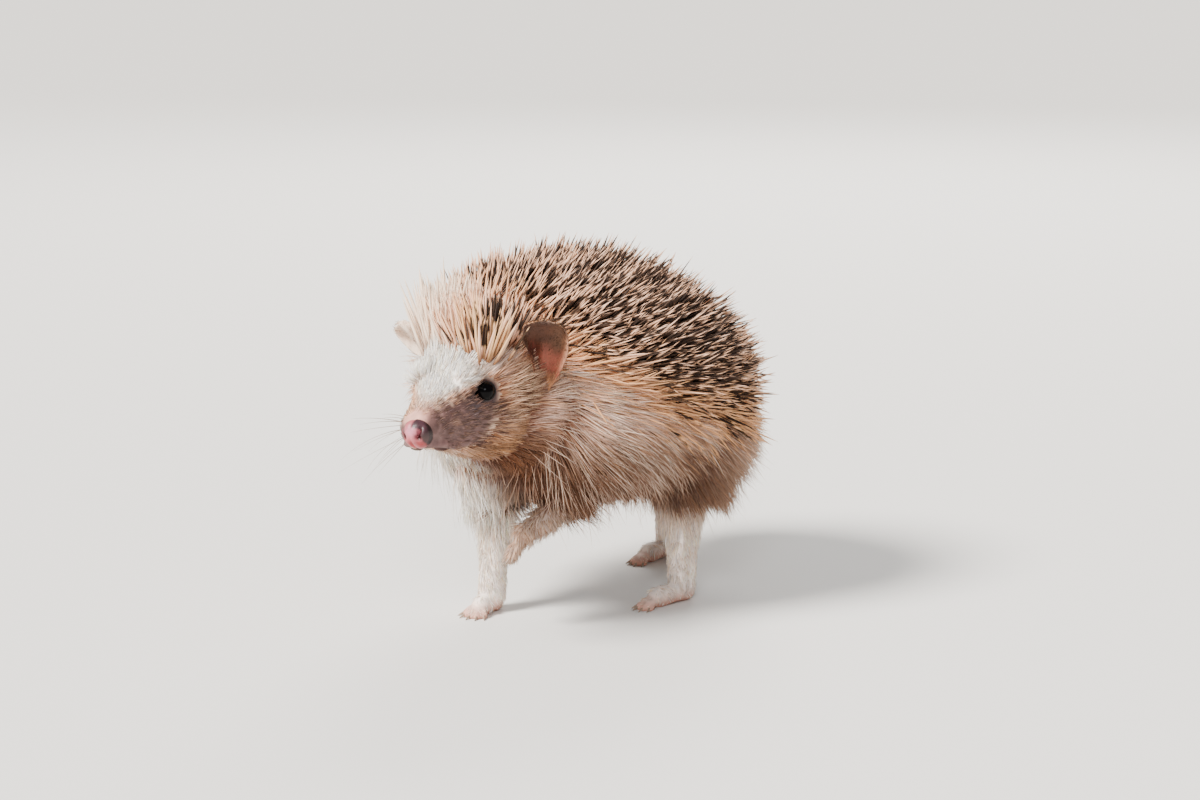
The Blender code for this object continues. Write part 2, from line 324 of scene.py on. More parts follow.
def wrap_spike(bm, rings):
    """Faces between the rings and over both ends."""
    wrap_rings(bm, rings)
    bm.faces.new(rings[0][::-1])
    bm.faces.new(rings[-1])


# --- Building blocks of the flesh --------------------------------------------------------------
def add_loft(bm, ovals, place=Matrix(), fullness=2.0, rings=30, sides=36):
    """A closed body through oval sections along -Y; fullness over 2 squares off the lower half."""
    first, last = ovals[0].along, ovals[-1].along
    loops = []
    for i in range(rings):
        at = first + (last - first) * (0.5 - 0.5 * math.cos(math.pi * (i + 0.5) / rings))
        oval = Oval(at, *[smoothed([(o.along, o[k]) for o in ovals], at) for k in range(1, 5)])
        ring = []
        for j in range(sides):
            angle = 2 * math.pi * j / sides
            c, s = math.cos(angle), math.sin(angle)
            height = oval.rise if s > 0 else oval.drop
            power = 2 if s > 0 else fullness
            reach = (abs(c) ** power + abs(s) ** power) ** (-1 / power)
            point = Vector((oval.half_width * c * reach, -at, oval.lift + height * s * reach))
            ring.append(bm.verts.new(place @ point))
        loops.append([bm.edges.new((ring[k - 1], ring[k])) for k in range(sides)])
    for before, after in zip(loops, loops[1:]):
        bmesh.ops.bridge_loops(bm, edges=before + after)
    bmesh.ops.edgeloop_fill(bm, edges=loops[0])
    bmesh.ops.edgeloop_fill(bm, edges=loops[-1])


def add_ellipsoid(bm, centre, radii, place=Matrix()):
    """A swelling of the flesh."""
    matrix = place @ Matrix.Translation(centre) @ Matrix.Diagonal((*radii, 1))
    bmesh.ops.create_uvsphere(bm, u_segments=32, v_segments=20, radius=1, matrix=matrix)


def add_limb(bm, joints, place=Matrix(), steps=10):
    """A tapered limb through (point, radius) joints, with a round end at each end."""
    last = len(joints) - 1
    for n in range(last * steps + 1):
        at = n / steps
        centre = [smoothed([(i, joint[0][c]) for i, joint in enumerate(joints)], at) for c in range(3)]
        radius = smoothed([(i, joint[1]) for i, joint in enumerate(joints)], at)
        matrix = place @ Matrix.Translation(centre)
        bmesh.ops.create_icosphere(bm, subdivisions=3, radius=radius, matrix=matrix)


# --- The skin ----------------------------------------------------------------------------------
# The flesh lies inside the coat: a quill's reach under the back, a hair's under the flanks.
TRUNK = [
    Oval(-54, 0.5, 1, 1, 47),
    Oval(-51, 11, 8, 8, 47),
    Oval(-44, 18.5, 13, 12.5, 48.5),
    Oval(-34, 24.5, 17, 17, 51),
    Oval(-20, 29.5, 23, 21.5, 54),
    Oval(-5, 31.5, 27, 24, 56.5),
    Oval(10, 30.5, 28, 24.5, 57),
    Oval(23, 26, 27, 23, 57.5),
    Oval(33, 19.5, 23, 20, 58),
    Oval(41, 13, 16, 13, 59.5),
    Oval(46, 0.5, 1, 1, 60),
]
SKULL = [
    Oval(-18, 7, 6, 8, -3),
    Oval(-14, 13, 11, 15, -3.5),
    Oval(-8, 15, 14, 17, -4),
    Oval(0, 13.8, 14.5, 16, -4),
    Oval(6, 12, 13.6, 14, -4.5),
    Oval(11, 10.2, 12, 11.6, -5.5),
    Oval(16, 8.5, 9.6, 8.8, -7),
    Oval(21, 7.1, 7.8, 6.7, -8),
    Oval(26, 5.7, 5.6, 5.0, -8.5),
    Oval(29, 4.7, 4.2, 4.3, -8.5),
    Oval(31, 3.2, 3.0, 3.1, -8.5),
]
# Each leg, by its foot: the place and radius of its joints from the hip down.
LEGS = {
    "forefoot_right": [
        ((-10, -23, 46), 8),
        ((-8.6, -22, 28), 4.4),
        ((-7.4, -24, 12), 3.5),
        ((-7.4, -24.5, 5), 3.5),
    ],
    "forefoot_left": [
        ((14, -22, 46), 8),
        ((16, -18, 36), 4.6),
        ((14, -23, 29.5), 3.1),
        ((12.5, -26.5, 27), 2.9),
    ],
    "hindfoot_left": [((18, 22, 46), 12), ((20, 18, 30), 6.4), ((21, 18, 13), 3.8), ((21, 18, 5), 3.6)],
    "hindfoot_right": [((-14, 38, 44), 12), ((-14, 46, 28), 6), ((-14, 50, 13), 3.8), ((-14, 50, 5), 3.6)],
}
# Each foot: heel, ball, toes, fan in degrees, toe length and how far the toes hang.
FEET = {
    "forefoot_right": ((-7.6, -24, 2.6), (-6.8, -28.2, 2.4), 5, 78, 3.4, 0.0),
    "forefoot_left": ((12.6, -26.3, 27.4), (11, -29.8, 25), 5, 60, 3.2, 1.6),
    "hindfoot_left": ((21, 19, 2.8), (20.5, 9.5, 2.4), 4, 46, 4.2, 0.0),
    "hindfoot_right": ((-14, 51, 2.8), (-13.5, 41.5, 2.4), 4, 46, 4.2, 0.0),
}


def toes_of(foot):
    """The root, tip and heading of each toe of a foot."""
    heel, ball, count, spread, length, droop = FEET[foot]
    heel, ball = Vector(heel), Vector(ball)
    forward = (ball - heel).normalized()
    for n in range(count):
        share = n / (count - 1) - 0.5
        way = Matrix.Rotation(math.radians(spread * share), 3, "Z") @ forward
        reach = length * (1 - 0.9 * share * share)
        root = ball + way * 1.2 - Vector((0, 0, 0.5))
        tip = ball + way * (2.0 + reach) - Vector((0, 0, 1.55 + droop))
        yield root, tip, (tip - root).normalized()


def add_foot(bm, foot):
    """A sole from heel to ball, and its toes, each bent at the knuckle."""
    heel, ball = Vector(FEET[foot][0]), Vector(FEET[foot][1])
    add_limb(bm, [(heel, 2.9), ((heel + ball) / 2, 2.5), (ball, 2.8)])
    for root, tip, _ in toes_of(foot):
        knuckle = (root + tip) / 2 + Vector((0, 0, 0.5))
        add_limb(bm, [(root, 1.25), (knuckle, 1.0), (tip, 0.95)])


def fused(name, bm, voxel, passes):
    """One smooth surface round all the volumes of the mesh."""
    piece = link(name, bm)
    remesh = piece.modifiers.new("fuse", "REMESH")
    remesh.mode = "VOXEL"
    remesh.voxel_size = voxel * MM
    smooth = piece.modifiers.new("smooth", "SMOOTH")
    smooth.factor = 0.5
    smooth.iterations = passes
    flesh = bmesh.new()
    flesh.from_object(piece, bpy.context.evaluated_depsgraph_get())
    bpy.data.objects.remove(piece)
    bmesh.ops.scale(flesh, vec=(1 / MM,) * 3, verts=flesh.verts)
    bmesh.ops.translate(flesh, vec=-TO_ORIGIN, verts=flesh.verts)
    return flesh


def trunk_and_head():
    """The body, the head, the neck and the tail in one volume, with room for the legs."""
    bm = bmesh.new()
    add_loft(bm, TRUNK, fullness=2.5)
    add_loft(bm, SKULL, HEAD, fullness=2.4)
    # The chest hangs between the forelegs.
    add_ellipsoid(bm, (2, -31, 45), (12.5, 9.5, 11))
    # The neck is as wide as the skull and runs into the shoulders.
    add_ellipsoid(bm, (4, -33, 58), (19, 14, 17))
    # Cheeks, lips and brow fill the face out.
    for side in (-1, 1):
        add_ellipsoid(bm, (side * 7.5, -4, -9), (5, 8, 6.5), HEAD)
        add_ellipsoid(bm, (side * 3.3, -21.5, -12.0), (2.7, 7, 3.1), HEAD)
        add_ellipsoid(bm, (side * 5.6, -13.0, 1.6), (2.6, 4.5, 2.2), HEAD)
    # Shoulders and hips swell over the tops of the legs.
    for (hip, thick), (knee, thin), *_ in LEGS.values():
        middle = Vector(hip).lerp(Vector(knee), 0.55)
        add_limb(bm, [(hip, thick + 0.5), (middle, (thick + thin) / 2 + 0.3)])
    # The tail.
    add_limb(bm, [((0, 46, 44), 4), ((0, 57, 39), 2), ((0, 62, 34.5), 1.1)])
    return fused("flesh", bm, BODY_VOXEL, 7)


def leg(foot):
    """The skin of one leg with its foot."""
    bm = bmesh.new()
    add_limb(bm, LEGS[foot])
    add_foot(bm, foot)
    return fused("leg", bm, LEG_VOXEL, 3)


def pinch_face(bm):
    """Cuts the eye sockets and the mouth line into the face."""
    head = [v for v in bm.verts if (HEAD.inverted() @ v.co).y < -5 and v.co.z > 50]
    edges = {e for v in head for e in v.link_edges}
    bmesh.ops.subdivide_edges(bm, edges=sorted(edges, key=lambda e: e.index), cuts=1, use_grid_fill=True)
    bm.normal_update()
    back = HEAD.inverted()
    turn = HEAD.to_3x3()
    for v in bm.verts:
        q = back @ v.co
        if q.y > -3 or v.co.z < 48:
            continue
        forward, side, up = -q.y, abs(q.x), q.z
        along = float(ramp(forward, 12, 15))
        gap = up - float(mouth_line(forward))
        if side > 0.6:
            # The upper lip hangs a little over the lower one.
            v.co -= v.normal * 0.75 * along * math.exp(-((gap / 0.4) ** 2))
            v.co += v.normal * 0.45 * along * math.exp(-(((gap - 1.1) / 0.7) ** 2))
            v.co -= v.normal * 0.5 * along * float(ramp(-gap, 0.3, 1.2))
        split = math.exp(-((q.x / 0.4) ** 2)) * float(ramp(forward, 26, 29)) * (up < -10)
        v.co -= v.normal * 0.45 * split
        eye, out = eye_place(math.copysign(1, q.x))
        away = q - eye
        level = away.dot(out)
        flat = (away - out * level).length
        if level > -2.5 and flat < 6:
            sink = 1 - float(ramp(flat, EYE_RADIUS, EYE_RADIUS + 0.8))
            v.co -= (turn @ out) * max(0, level + 0.5) * sink
    return bm


def mouth_line(forward):
    """Height of the lips' line in the head's frame: dropping from the nose, rising to its corner."""
    drop = 0.26 * np.clip(27 - forward, 0, 7)
    return -13.4 - drop + 0.012 * np.maximum(0, 18 - forward) ** 2


def grey_zone(q):
    """1 on the thinly haired grey skin from the nose and lips to round the eye, lower on the right."""
    forward, side, up = -q[:, 1], np.abs(q[:, 0]), q[:, 2]
    top = -2.9 + 0.17 * (27 - forward) + 0.5 * np.sin(1.7 * forward) + 0.3 * np.sin(3.1 * forward + 1)
    top -= 2.2 * ramp(-q[:, 0], 1, 4)
    rear = 5.5 + 0.35 * np.clip(-5 - up, 0, 10)
    zone = (1 - ramp(up, top - 2.2, top + 1.0)) * ramp(forward - rear, 0, 5.5) * ramp(side, 0.8, 2.6)
    return zone * ramp(up - mouth_line(forward), -0.8, 0.2)


def eye_place(side):
    """Centre of an eyeball and the way it looks, in the head's frame."""
    if side > 0:
        return EYE.copy(), EYE_AXIS.copy()
    return Vector((1.2 - EYE.x, EYE.y, EYE.z)), Vector((-0.93, -0.33, 0.17)).normalized()


def folded_leg_shade(points):
    """1 on the lifted left foreleg, whose painted shade makes it darker than the others."""
    return ramp(points[:, 0], 4, 7) * (1 - ramp(points[:, 1], -12, -8)) * ramp(points[:, 2], 15, 19)


def body_skin(points, forward):
    """Pink feet, darker skin under the coat, white skin on the legs and painted shade on the lifted one."""
    colour = mix(rows(PINK_SKIN, len(points)), UNDERCOAT_SKIN, ramp(points[:, 2], 30, 36))
    back = ramp(points[:, 2], 46, 60) * (1 - ramp(forward, 4, 9))
    colour = mix(colour, BACK_SKIN, back)
    legs = (1 - ramp(points[:, 2], 26, 34)) * ramp(points[:, 2], 0.5, 5)
    colour = mix(colour, WHITE_FUR, 0.75 * legs)
    # Painted shade darkens the lifted foreleg under the belly.
    return mix(colour, FOLDED_LEG_SHADE_SKIN, legs * folded_leg_shade(points))


def muzzle_skin(colour, points, q, grey):
    """Mottled grey skin on the sides of the muzzle, with a bridge above it of pink skin and painted
    highlight.
    """
    forward, side, up = -q[:, 1], np.abs(q[:, 0]), q[:, 2]
    colour = mix(colour, MUZZLE_SKIN, 0.97 * grey)
    patch = cloudiness(points, 2.2, 11)
    colour = mix(colour, MUZZLE_DARK_SKIN, np.clip(0.75 * grey * (patch + 0.25), 0, 1))
    pale = cloudiness(points, 1.4, 23)
    colour = mix(colour, MUZZLE_PALE_SKIN, np.clip(0.9 * grey * (pale - 0.05), 0, 0.7))
    lip = near((up - mouth_line(forward) - 1.6) / 1.0) * ramp(forward, 15, 18)
    colour = mix(colour, LIP_SKIN, 0.6 * lip * grey)
    # The bridge is partly the skin's own pink and partly a painted highlight.
    bridge = ramp(forward, 22, 28) * (1 - ramp(side, 2.0, 4.0)) * ramp(up, -8, -5.5)
    colour = mix(colour, BRIDGE_PINK_AND_HIGHLIGHT, 0.85 * bridge)
    dust = near((forward - 22) / 1.3, (up + 7.6) / 0.8) * ramp(side, 2, 3)
    return mix(colour, DUSTED_SKIN, 0.7 * dust)


def eye_skin(colour, q, grey):
    """Dark rims round the eyes, a bag under each and a painted shadow line running forward from it."""
    forward, side, up = -q[:, 1], np.abs(q[:, 0]), q[:, 2]
    for half in (-1, 1):
        centre, out = (np.array(v) for v in eye_place(half))
        level = (q - centre) @ out
        eye = np.linalg.norm(q - centre - np.outer(level, out), axis=1)
        outside = ramp(level, -4, -2)
        colour = mix(colour, EYE_RIM_SKIN, 0.85 * ((1 - ramp(eye, 3.2, 4.6)) * outside))
        colour = mix(colour, LID_SKIN, (1 - ramp(eye, 2.6, 3.2)) * outside)
    bag = near((forward - 15.5) / 2.3, (up + 5.4) / 1.9) * ramp(side, 4, 6)
    colour = mix(colour, EYE_BAG_SKIN, 0.75 * bag)
    # Painted shadow: a dark line running forward from below the eye.
    shadow_line = near((up + 3.0 + 0.15 * (forward - 15)) / 1.0) * ramp(forward, 13, 14.5)
    return mix(colour, UNDER_EYE_SHADOW, 0.8 * shadow_line * (1 - ramp(forward, 16, 19.5)) * grey)


def skin_colours(points):
    """The bare skin's colours, place by place."""
    q = to_head(points)
    forward, side, up = -q[:, 1], np.abs(q[:, 0]), q[:, 2]
    colour = body_skin(points, forward)
    face = ramp(forward, 3, 8) * ramp(points[:, 2], 48, 51)
    colour = mix(colour, CREAM_FUR, 0.8 * face)
    brow = ramp(up + 0.25 * forward, 2.4, 4.4)
    colour = mix(colour, WHITE_FUR, 0.9 * face * brow * (1 - 0.75 * ramp(q[:, 0], 5, 12)))
    grey = grey_zone(q) * face
    colour = muzzle_skin(colour, points, q, grey)
    colour = eye_skin(colour, q, grey)
    # Painted shade along the crease between the lips.
    mouth = near((up - mouth_line(forward)) / 0.55) * ramp(forward, 12, 15)
    return mix(colour, MOUTH_CREASE_SHADE, 0.9 * mouth * face * ramp(side, 0.6, 1.2))


def make_skin(material):
    """The skin of the trunk and head, then of each leg; ears, nose and lids are joined to it later."""
    pieces = []
    for part in [pinch_face(trunk_and_head())] + [leg(foot) for foot in LEGS]:
        for v in part.verts:
            v.co.z = max(v.co.z, SKIN_CLEARANCE)
        piece = link("skin", part, material)
        finish_skin(piece, skin_colours(animal_points(piece.data)))
        pieces.append(piece)
    return pieces


def make_lids(side, material, around=56, rings=9):
    """Dark lids hugging the eyeball, drawn to a point at the eye's inner corner."""
    centre, out = eye_place(side)
    to_nose = Vector((0, -1, -0.25))
    inward = (to_nose - out * out.dot(to_nose)).normalized()
    upward = out.cross(inward) * -side
    bm = bmesh.new()
    loops = []
    for i in range(rings):
        t = i / (rings - 1)
        ring = []
        for j in range(around):
            angle = math.tau * j / around
            point = max(0, math.cos(angle)) ** 8
            reach = EYE_RADIUS * 0.88 + 1.7 * point + 1.4 * t
            tall = 0.97 - 0.05 * (math.sin(angle) > 0)
            level = math.sqrt(max(EYE_RADIUS**2 - min(reach, EYE_RADIUS * 0.93) ** 2, 0))
            lift = 0.20 * math.sin(math.pi * min(1, t * 1.5)) - 2.6 * max(0, t - 0.25)
            flat = inward * math.cos(angle) * reach + upward * math.sin(angle) * reach * tall
            ring.append(bm.verts.new(HEAD @ (centre + flat + out * (level + lift - 0.06))))
        loops.append(ring)
    wrap_rings(bm, loops)
    bmesh.ops.recalc_face_normals(bm, faces=bm.faces)
    piece = link("lids", bm, material)
    outward = np.repeat(np.linspace(0, 1, rings), around)
    finish_skin(piece, mix(rows(LID_SKIN, len(outward)), LID_EDGE_SKIN, ramp(outward, 0.22, 0.55)))
    return piece


def nostril(r, side):
    """How deep a place near the nose lies in the comma-shaped nostril, and in the wing above it."""
    a = r.x * side - 2.35
    b = r.z - 0.35
    ahead = float(ramp(-r.y, 0.2, 1.0))
    body = math.exp(-((a + 0.30) ** 2 / 0.36 + (b + 0.85) ** 2 / 0.40))
    tail = math.exp(-((a - 0.15 * b) ** 2 / 0.12 + (b - 0.25) ** 2 / 1.1))
    wing = math.exp(-((a - 0.8) ** 2 / 0.4 + (b - 0.2) ** 2 / 2.0))
    return ahead * max(body, tail), ahead * wing * (1 - max(body, tail))


def make_nose(material):
    """The wet nose pad: a pink bulb in front, grey above and behind, a comma nostril each side."""
    bm = bmesh.new()
    bmesh.ops.create_icosphere(bm, subdivisions=5, radius=1)
    for v in bm.verts:
        x, y, z = v.co
        r = Vector((x * NOSE_SIZE.x, y * NOSE_SIZE.y, z * NOSE_SIZE.z))
        groove = math.exp(-((r.x / 0.4) ** 2)) * (0.15 + 0.5 * max(0, -z)) * (y < 0.2)
        r -= v.co.normalized() * groove
        for side in (-1, 1):
            deep, wing = nostril(r, side)
            r -= v.co.normalized() * 1.5 * deep
            r += v.co.normalized() * 0.25 * wing
        v.co = r
    # It sniffs a little to the right.
    sniff = Matrix.Rotation(math.radians(-9), 4, "Z")
    bmesh.ops.transform(bm, matrix=HEAD @ Matrix.Translation(NOSE) @ sniff, verts=bm.verts)
    piece = link("nose_pad", bm, material)
    q = (to_head(animal_points(piece.data)) - np.array(NOSE)) @ np.array(sniff)[:3, :3]
    finish_skin(piece, nose_colours(q), 0.7)
    return piece


def nose_colours(q):
    """The pad's colours by place from its own middle: pink and red below, grey above and behind."""
    side = np.abs(q[:, 0])
    colour = rows(NOSE_PINK, len(q))
    low = ramp(-q[:, 2], 0.6, 2.4)
    colour = mix(colour, NOSE_RED, 0.9 * low * ramp(np.abs(q[:, 0] - 0.9), 0.1, 0.9))
    lilac = near((q[:, 0] - 0.2) / 1.6, (q[:, 2] - 1.0) / 1.3)
    colour = mix(colour, NOSE_LILAC, 0.7 * lilac)
    # The grey is stronger on the left, as pigment often is.
    grey = ramp(side + 0.30 * q[:, 2] + 0.15 * (q[:, 1] + 2.6), 2.2, 2.75)
    crest = ramp(q[:, 2] + 0.30 * q[:, 0], 1.75, 2.4) * ramp(q[:, 0], -0.3, 0.7)
    dark = np.maximum(grey * np.where(q[:, 0] < 0, 0.5, 1.0), crest)
    colour = mix(colour, NOSE_GREY, 0.95 * dark)
    brown = near((side - 3.3) / 0.7, (q[:, 2] + 0.9) / 1.3)
    colour = mix(colour, NOSE_BROWN, 0.6 * brown)
    # Painted shade in the crease where the pad's back edges meet the muzzle.
    crease = ramp(q[:, 1], -1.3, -0.6) * ramp(side, 2, 3)
    colour = mix(colour, NOSE_CREASE_SHADE, 0.96 * crease)
    holes = np.array([nostril(Vector(r), 1 if r[0] > 0 else -1)[0] for r in q])
    return mix(colour, NOSTRIL_RED, np.clip(2.6 * holes - 0.25, 0, 1))


def ear_frame(side):
    """Root, tip, width across and facing of an ear; the right one leans out and turns away."""
    if side > 0:
        root, tip = Vector((15.9, 3.4, -3.6)), Vector((20.3, 0.8, 13.9))
        face = Vector((0.55, -0.83, 0.0))
    else:
        root, tip = Vector((-11.5, 2.5, 3.0)), Vector((-21.2, 1.0, 13.2))
        face = Vector((-0.60, -0.72, -0.35))
    up = (tip - root).normalized()
    across = up.cross(face).normalized()
    return root, tip, across, across.cross(up)


def make_ear(side, material, steps=44):
    """A thin cupped ear: a curled rim, a pit over the ear's opening and folds down to its root."""
    root, tip, across, face = ear_frame(side)
    scale = 1.0 if side > 0 else 0.72
    forward = 1 if across.y < 0 else -1
    bm = bmesh.new()
    shades = []
    sheets = []
    for sheet in (-1, 1):
        lines = []
        for i in range(steps + 1):
            v = i / steps
            line = []
            for j in range(steps + 1):
                u = 2 * j / steps - 1
                lean = u * forward
                half = scale * smoothed(EAR_FRONT if lean > 0 else EAR_BACK, v)
                edge = max(float(ramp(abs(u), 0.72, 1.0)), float(ramp(v, 0.86, 1.0)))
                cup = 3.2 * (1 - u * u) * (0.35 + 0.65 * math.sin(math.pi * min(1, v + 0.12)))
                pit = 1.8 * math.exp(-(((lean - 0.45) / 0.35) ** 2 + ((v - 0.46) / 0.17) ** 2))
                fold = 0.55 * math.exp(-(((lean + 0.12) / 0.13) ** 2)) * float(1 - ramp(v, 0.3, 0.7))
                fold += 0.5 * math.exp(-(((lean - 0.72) / 0.12) ** 2)) * float(1 - ramp(v, 0.2, 0.75))
                ripple = 0.12 * math.sin(9 * v) * (1 - abs(u))
                curl = 1.1 * edge * float(ramp(v, 0.1, 0.5))
                thick = 0.28 + 0.22 * edge
                point = root + (tip - root) * (v - 0.02 * edge)
                point += across * (half * (u - 0.10 * edge * math.copysign(1, u)))
                point -= face * (cup + pit - fold - ripple - curl - sheet * thick)
                line.append(bm.verts.new(HEAD @ point))
                shades.append((lean, v, sheet > 0, edge))
            lines.append(line)
        sheets.append(lines)
    for lines in sheets:
        for before, after in zip(lines, lines[1:]):
            for j in range(steps):
                bm.faces.new((before[j], before[j + 1], after[j + 1], after[j]))
    back, front = sheets
    for j in range(steps):
        for i in (0, steps):
            bm.faces.new((back[i][j], back[i][j + 1], front[i][j + 1], front[i][j]))
            bm.faces.new((back[j][i], back[j + 1][i], front[j + 1][i], front[j][i]))
    bmesh.ops.recalc_face_normals(bm, faces=bm.faces)
    piece = link("ear", bm, material)
    finish_skin(piece, ear_skin(side, *np.array(shades, float).T))
    return piece


def ear_skin(side, lean, v, inner, edge):
    """An ear's colours: pink and brown inside with painted shade in the pit and on the rim's top, a warm
    rim and a tan back.
    """
    count = len(v)
    high = ramp(v - 0.04 * lean + 0.03 * np.sin(9 * lean), 0.40, 0.66)
    inside = mix(rows(EAR_PINK, count), EAR_BROWN, high)
    inside = mix(inside, EAR_BACK_BROWN, 0.5 * high * ramp(-lean, 0.1, 0.8))
    inside = mix(inside, EAR_TAN, 0.85 * (1 - ramp(v, 0.08, 0.24)))
    # Painted shadow in the pit over the ear's opening.
    pit = near((lean - 0.72) / 0.50, (v - 0.44) / 0.19)
    inside = mix(inside, EAR_PIT_SHADE, 0.97 * pit)
    warm = 0.8 * edge * ramp(-lean, 0, 0.5) * ramp(v, 0.2, 0.4) * (1 - ramp(v, 0.7, 0.85))
    inside = mix(inside, EAR_WARM_RIM, warm)
    # Painted shade along the top of the rim.
    inside = mix(inside, EAR_RIM_SHADE, 0.7 * edge * ramp(v, 0.75, 0.92))
    colour = mix(rows(EAR_TAN, count), inside, inner)
    if side < 0:
        # The right ear is pale, with a brown groove down its inside.
        groove = np.maximum(ramp(np.abs(lean), 0.35, 0.75), ramp(v, 0.75, 0.95))
        colour = mix(rows(RIGHT_EAR_GROOVE, count), RIGHT_EAR_RIM, groove)
        colour = mix(colour, RIGHT_EAR_RIM, 1 - inner)
    return colour


def join_all(pieces, name):
    """Several objects become the first of them, under a new name."""
    with bpy.context.temp_override(
        active_object=pieces[0], object=pieces[0], selected_objects=pieces, selected_editable_objects=pieces
    ):
        bpy.ops.object.join()
    joined = pieces[0]
    joined.name = name
    joined.data.name = name
    return joined


# --- Materials ---------------------------------------------------------------------------------
# Share of a quill's length over which its dark band fades in and out.
BAND_FADE = 0.09


def new_material(name):
    """A new material with its node tree and its shader."""
    material = bpy.data.materials.new(name)
    material.use_nodes = True
    tree = material.node_tree
    return material, tree, tree.nodes["Principled BSDF"]


def node(tree, kind, **values):
    """A new node with its settings."""
    made = tree.nodes.new(kind)
    for key, value in values.items():
        setattr(made, key, value)
    return made


def strand_sockets(group):
    """What a strand's colour is made from and what it gives."""
    for name in ("Tint", "Dark", "Root"):
        group.interface.new_socket(name, in_out="INPUT", socket_type="NodeSocketColor")
    for name in ("Root reach", "Band start", "Band end"):
        group.interface.new_socket(name, in_out="INPUT", socket_type="NodeSocketFloat")
    group.interface.new_socket("Colour", in_out="OUTPUT", socket_type="NodeSocketColor")
    group.interface.new_socket("Roughness", in_out="OUTPUT", socket_type="NodeSocketFloat")


def band_share(group, given, along):
    """How far a place on a quill lies within its dark band, if it has one."""
    band = node(group, "ShaderNodeAttribute", attribute_name="Band")
    shift = node(group, "ShaderNodeAttribute", attribute_name="Shift")
    link_up = group.links.new
    moved = node(group, "ShaderNodeMath", operation="ADD")
    link_up(along.outputs["Fac"], moved.inputs[0])
    link_up(shift.outputs["Fac"], moved.inputs[1])
    edges = []
    for name in ("Band start", "Band end"):
        edge = node(group, "ShaderNodeMapRange", interpolation_type="SMOOTHSTEP")
        past = node(group, "ShaderNodeMath", operation="ADD")
        past.inputs[1].default_value = BAND_FADE
        link_up(moved.outputs[0], edge.inputs["Value"])
        link_up(given.outputs[name], edge.inputs["From Min"])
        link_up(given.outputs[name], past.inputs[0])
        link_up(past.outputs[0], edge.inputs["From Max"])
        edges.append(edge)
    within = node(group, "ShaderNodeMath", operation="SUBTRACT")
    link_up(edges[0].outputs[0], within.inputs[0])
    link_up(edges[1].outputs[0], within.inputs[1])
    share = node(group, "ShaderNodeMath", operation="MULTIPLY", use_clamp=True)
    link_up(within.outputs[0], share.inputs[0])
    link_up(band.outputs["Fac"], share.inputs[1])
    return share.outputs[0]


def root_shade(group, given, along):
    """The root's colour, giving way to white over the root's reach."""
    rise = node(group, "ShaderNodeMapRange", interpolation_type="SMOOTHSTEP")
    group.links.new(along.outputs["Fac"], rise.inputs["Value"])
    group.links.new(given.outputs["Root reach"], rise.inputs["From Max"])
    root = node(group, "ShaderNodeMix", data_type="RGBA")
    group.links.new(rise.outputs[0], root.inputs["Factor"])
    group.links.new(given.outputs["Root"], root.inputs["A"])
    root.inputs["B"].default_value = (1, 1, 1, 1)
    return root.outputs["Result"]


def strand_group():
    """Colour along a hair or quill: shaded root, tinted shaft, an optional dark band, a pale tip."""
    group = bpy.data.node_groups.new("Strand colour", "ShaderNodeTree")
    strand_sockets(group)
    given = node(group, "NodeGroupInput")
    out = node(group, "NodeGroupOutput")
    along = node(group, "ShaderNodeAttribute", attribute_name="Along")
    link_up = group.links.new
    banded = node(group, "ShaderNodeMix", data_type="RGBA")
    link_up(band_share(group, given, along), banded.inputs["Factor"])
    link_up(given.outputs["Tint"], banded.inputs["A"])
    link_up(given.outputs["Dark"], banded.inputs["B"])
    shaded = node(group, "ShaderNodeMix", data_type="RGBA", blend_type="MULTIPLY")
    shaded.inputs["Factor"].default_value = 1
    link_up(banded.outputs["Result"], shaded.inputs["A"])
    link_up(root_shade(group, given, along), shaded.inputs["B"])
    link_up(shaded.outputs["Result"], out.inputs["Colour"])
    rough = node(group, "ShaderNodeMapRange")
    rough.inputs["To Min"].default_value = 0.72
    rough.inputs["To Max"].default_value = 0.48
    link_up(along.outputs["Fac"], rough.inputs["Value"])
    link_up(rough.outputs[0], out.inputs["Roughness"])
    return group


def strand_material(name, group, root, reach, band=(2.0, 3.0)):
    """Hair or quill, shaded over reach of its length; a band from 2 to 3 lies past the tip."""
    material, tree, shader = new_material(name)
    tint = node(tree, "ShaderNodeAttribute", attribute_name="Tint")
    strand = node(tree, "ShaderNodeGroup", node_tree=group)
    strand.inputs["Dark"].default_value = (*DARK_BAND, 1)
    strand.inputs["Root"].default_value = (*root, 1)
    strand.inputs["Root reach"].default_value = reach
    strand.inputs["Band start"].default_value = band[0]
    strand.inputs["Band end"].default_value = band[1]
    tree.links.new(tint.outputs["Color"], strand.inputs["Tint"])
    tree.links.new(strand.outputs["Colour"], shader.inputs["Base Color"])
    tree.links.new(strand.outputs["Roughness"], shader.inputs["Roughness"])
    shader.inputs["Specular IOR Level"].default_value = 0.18
    return material


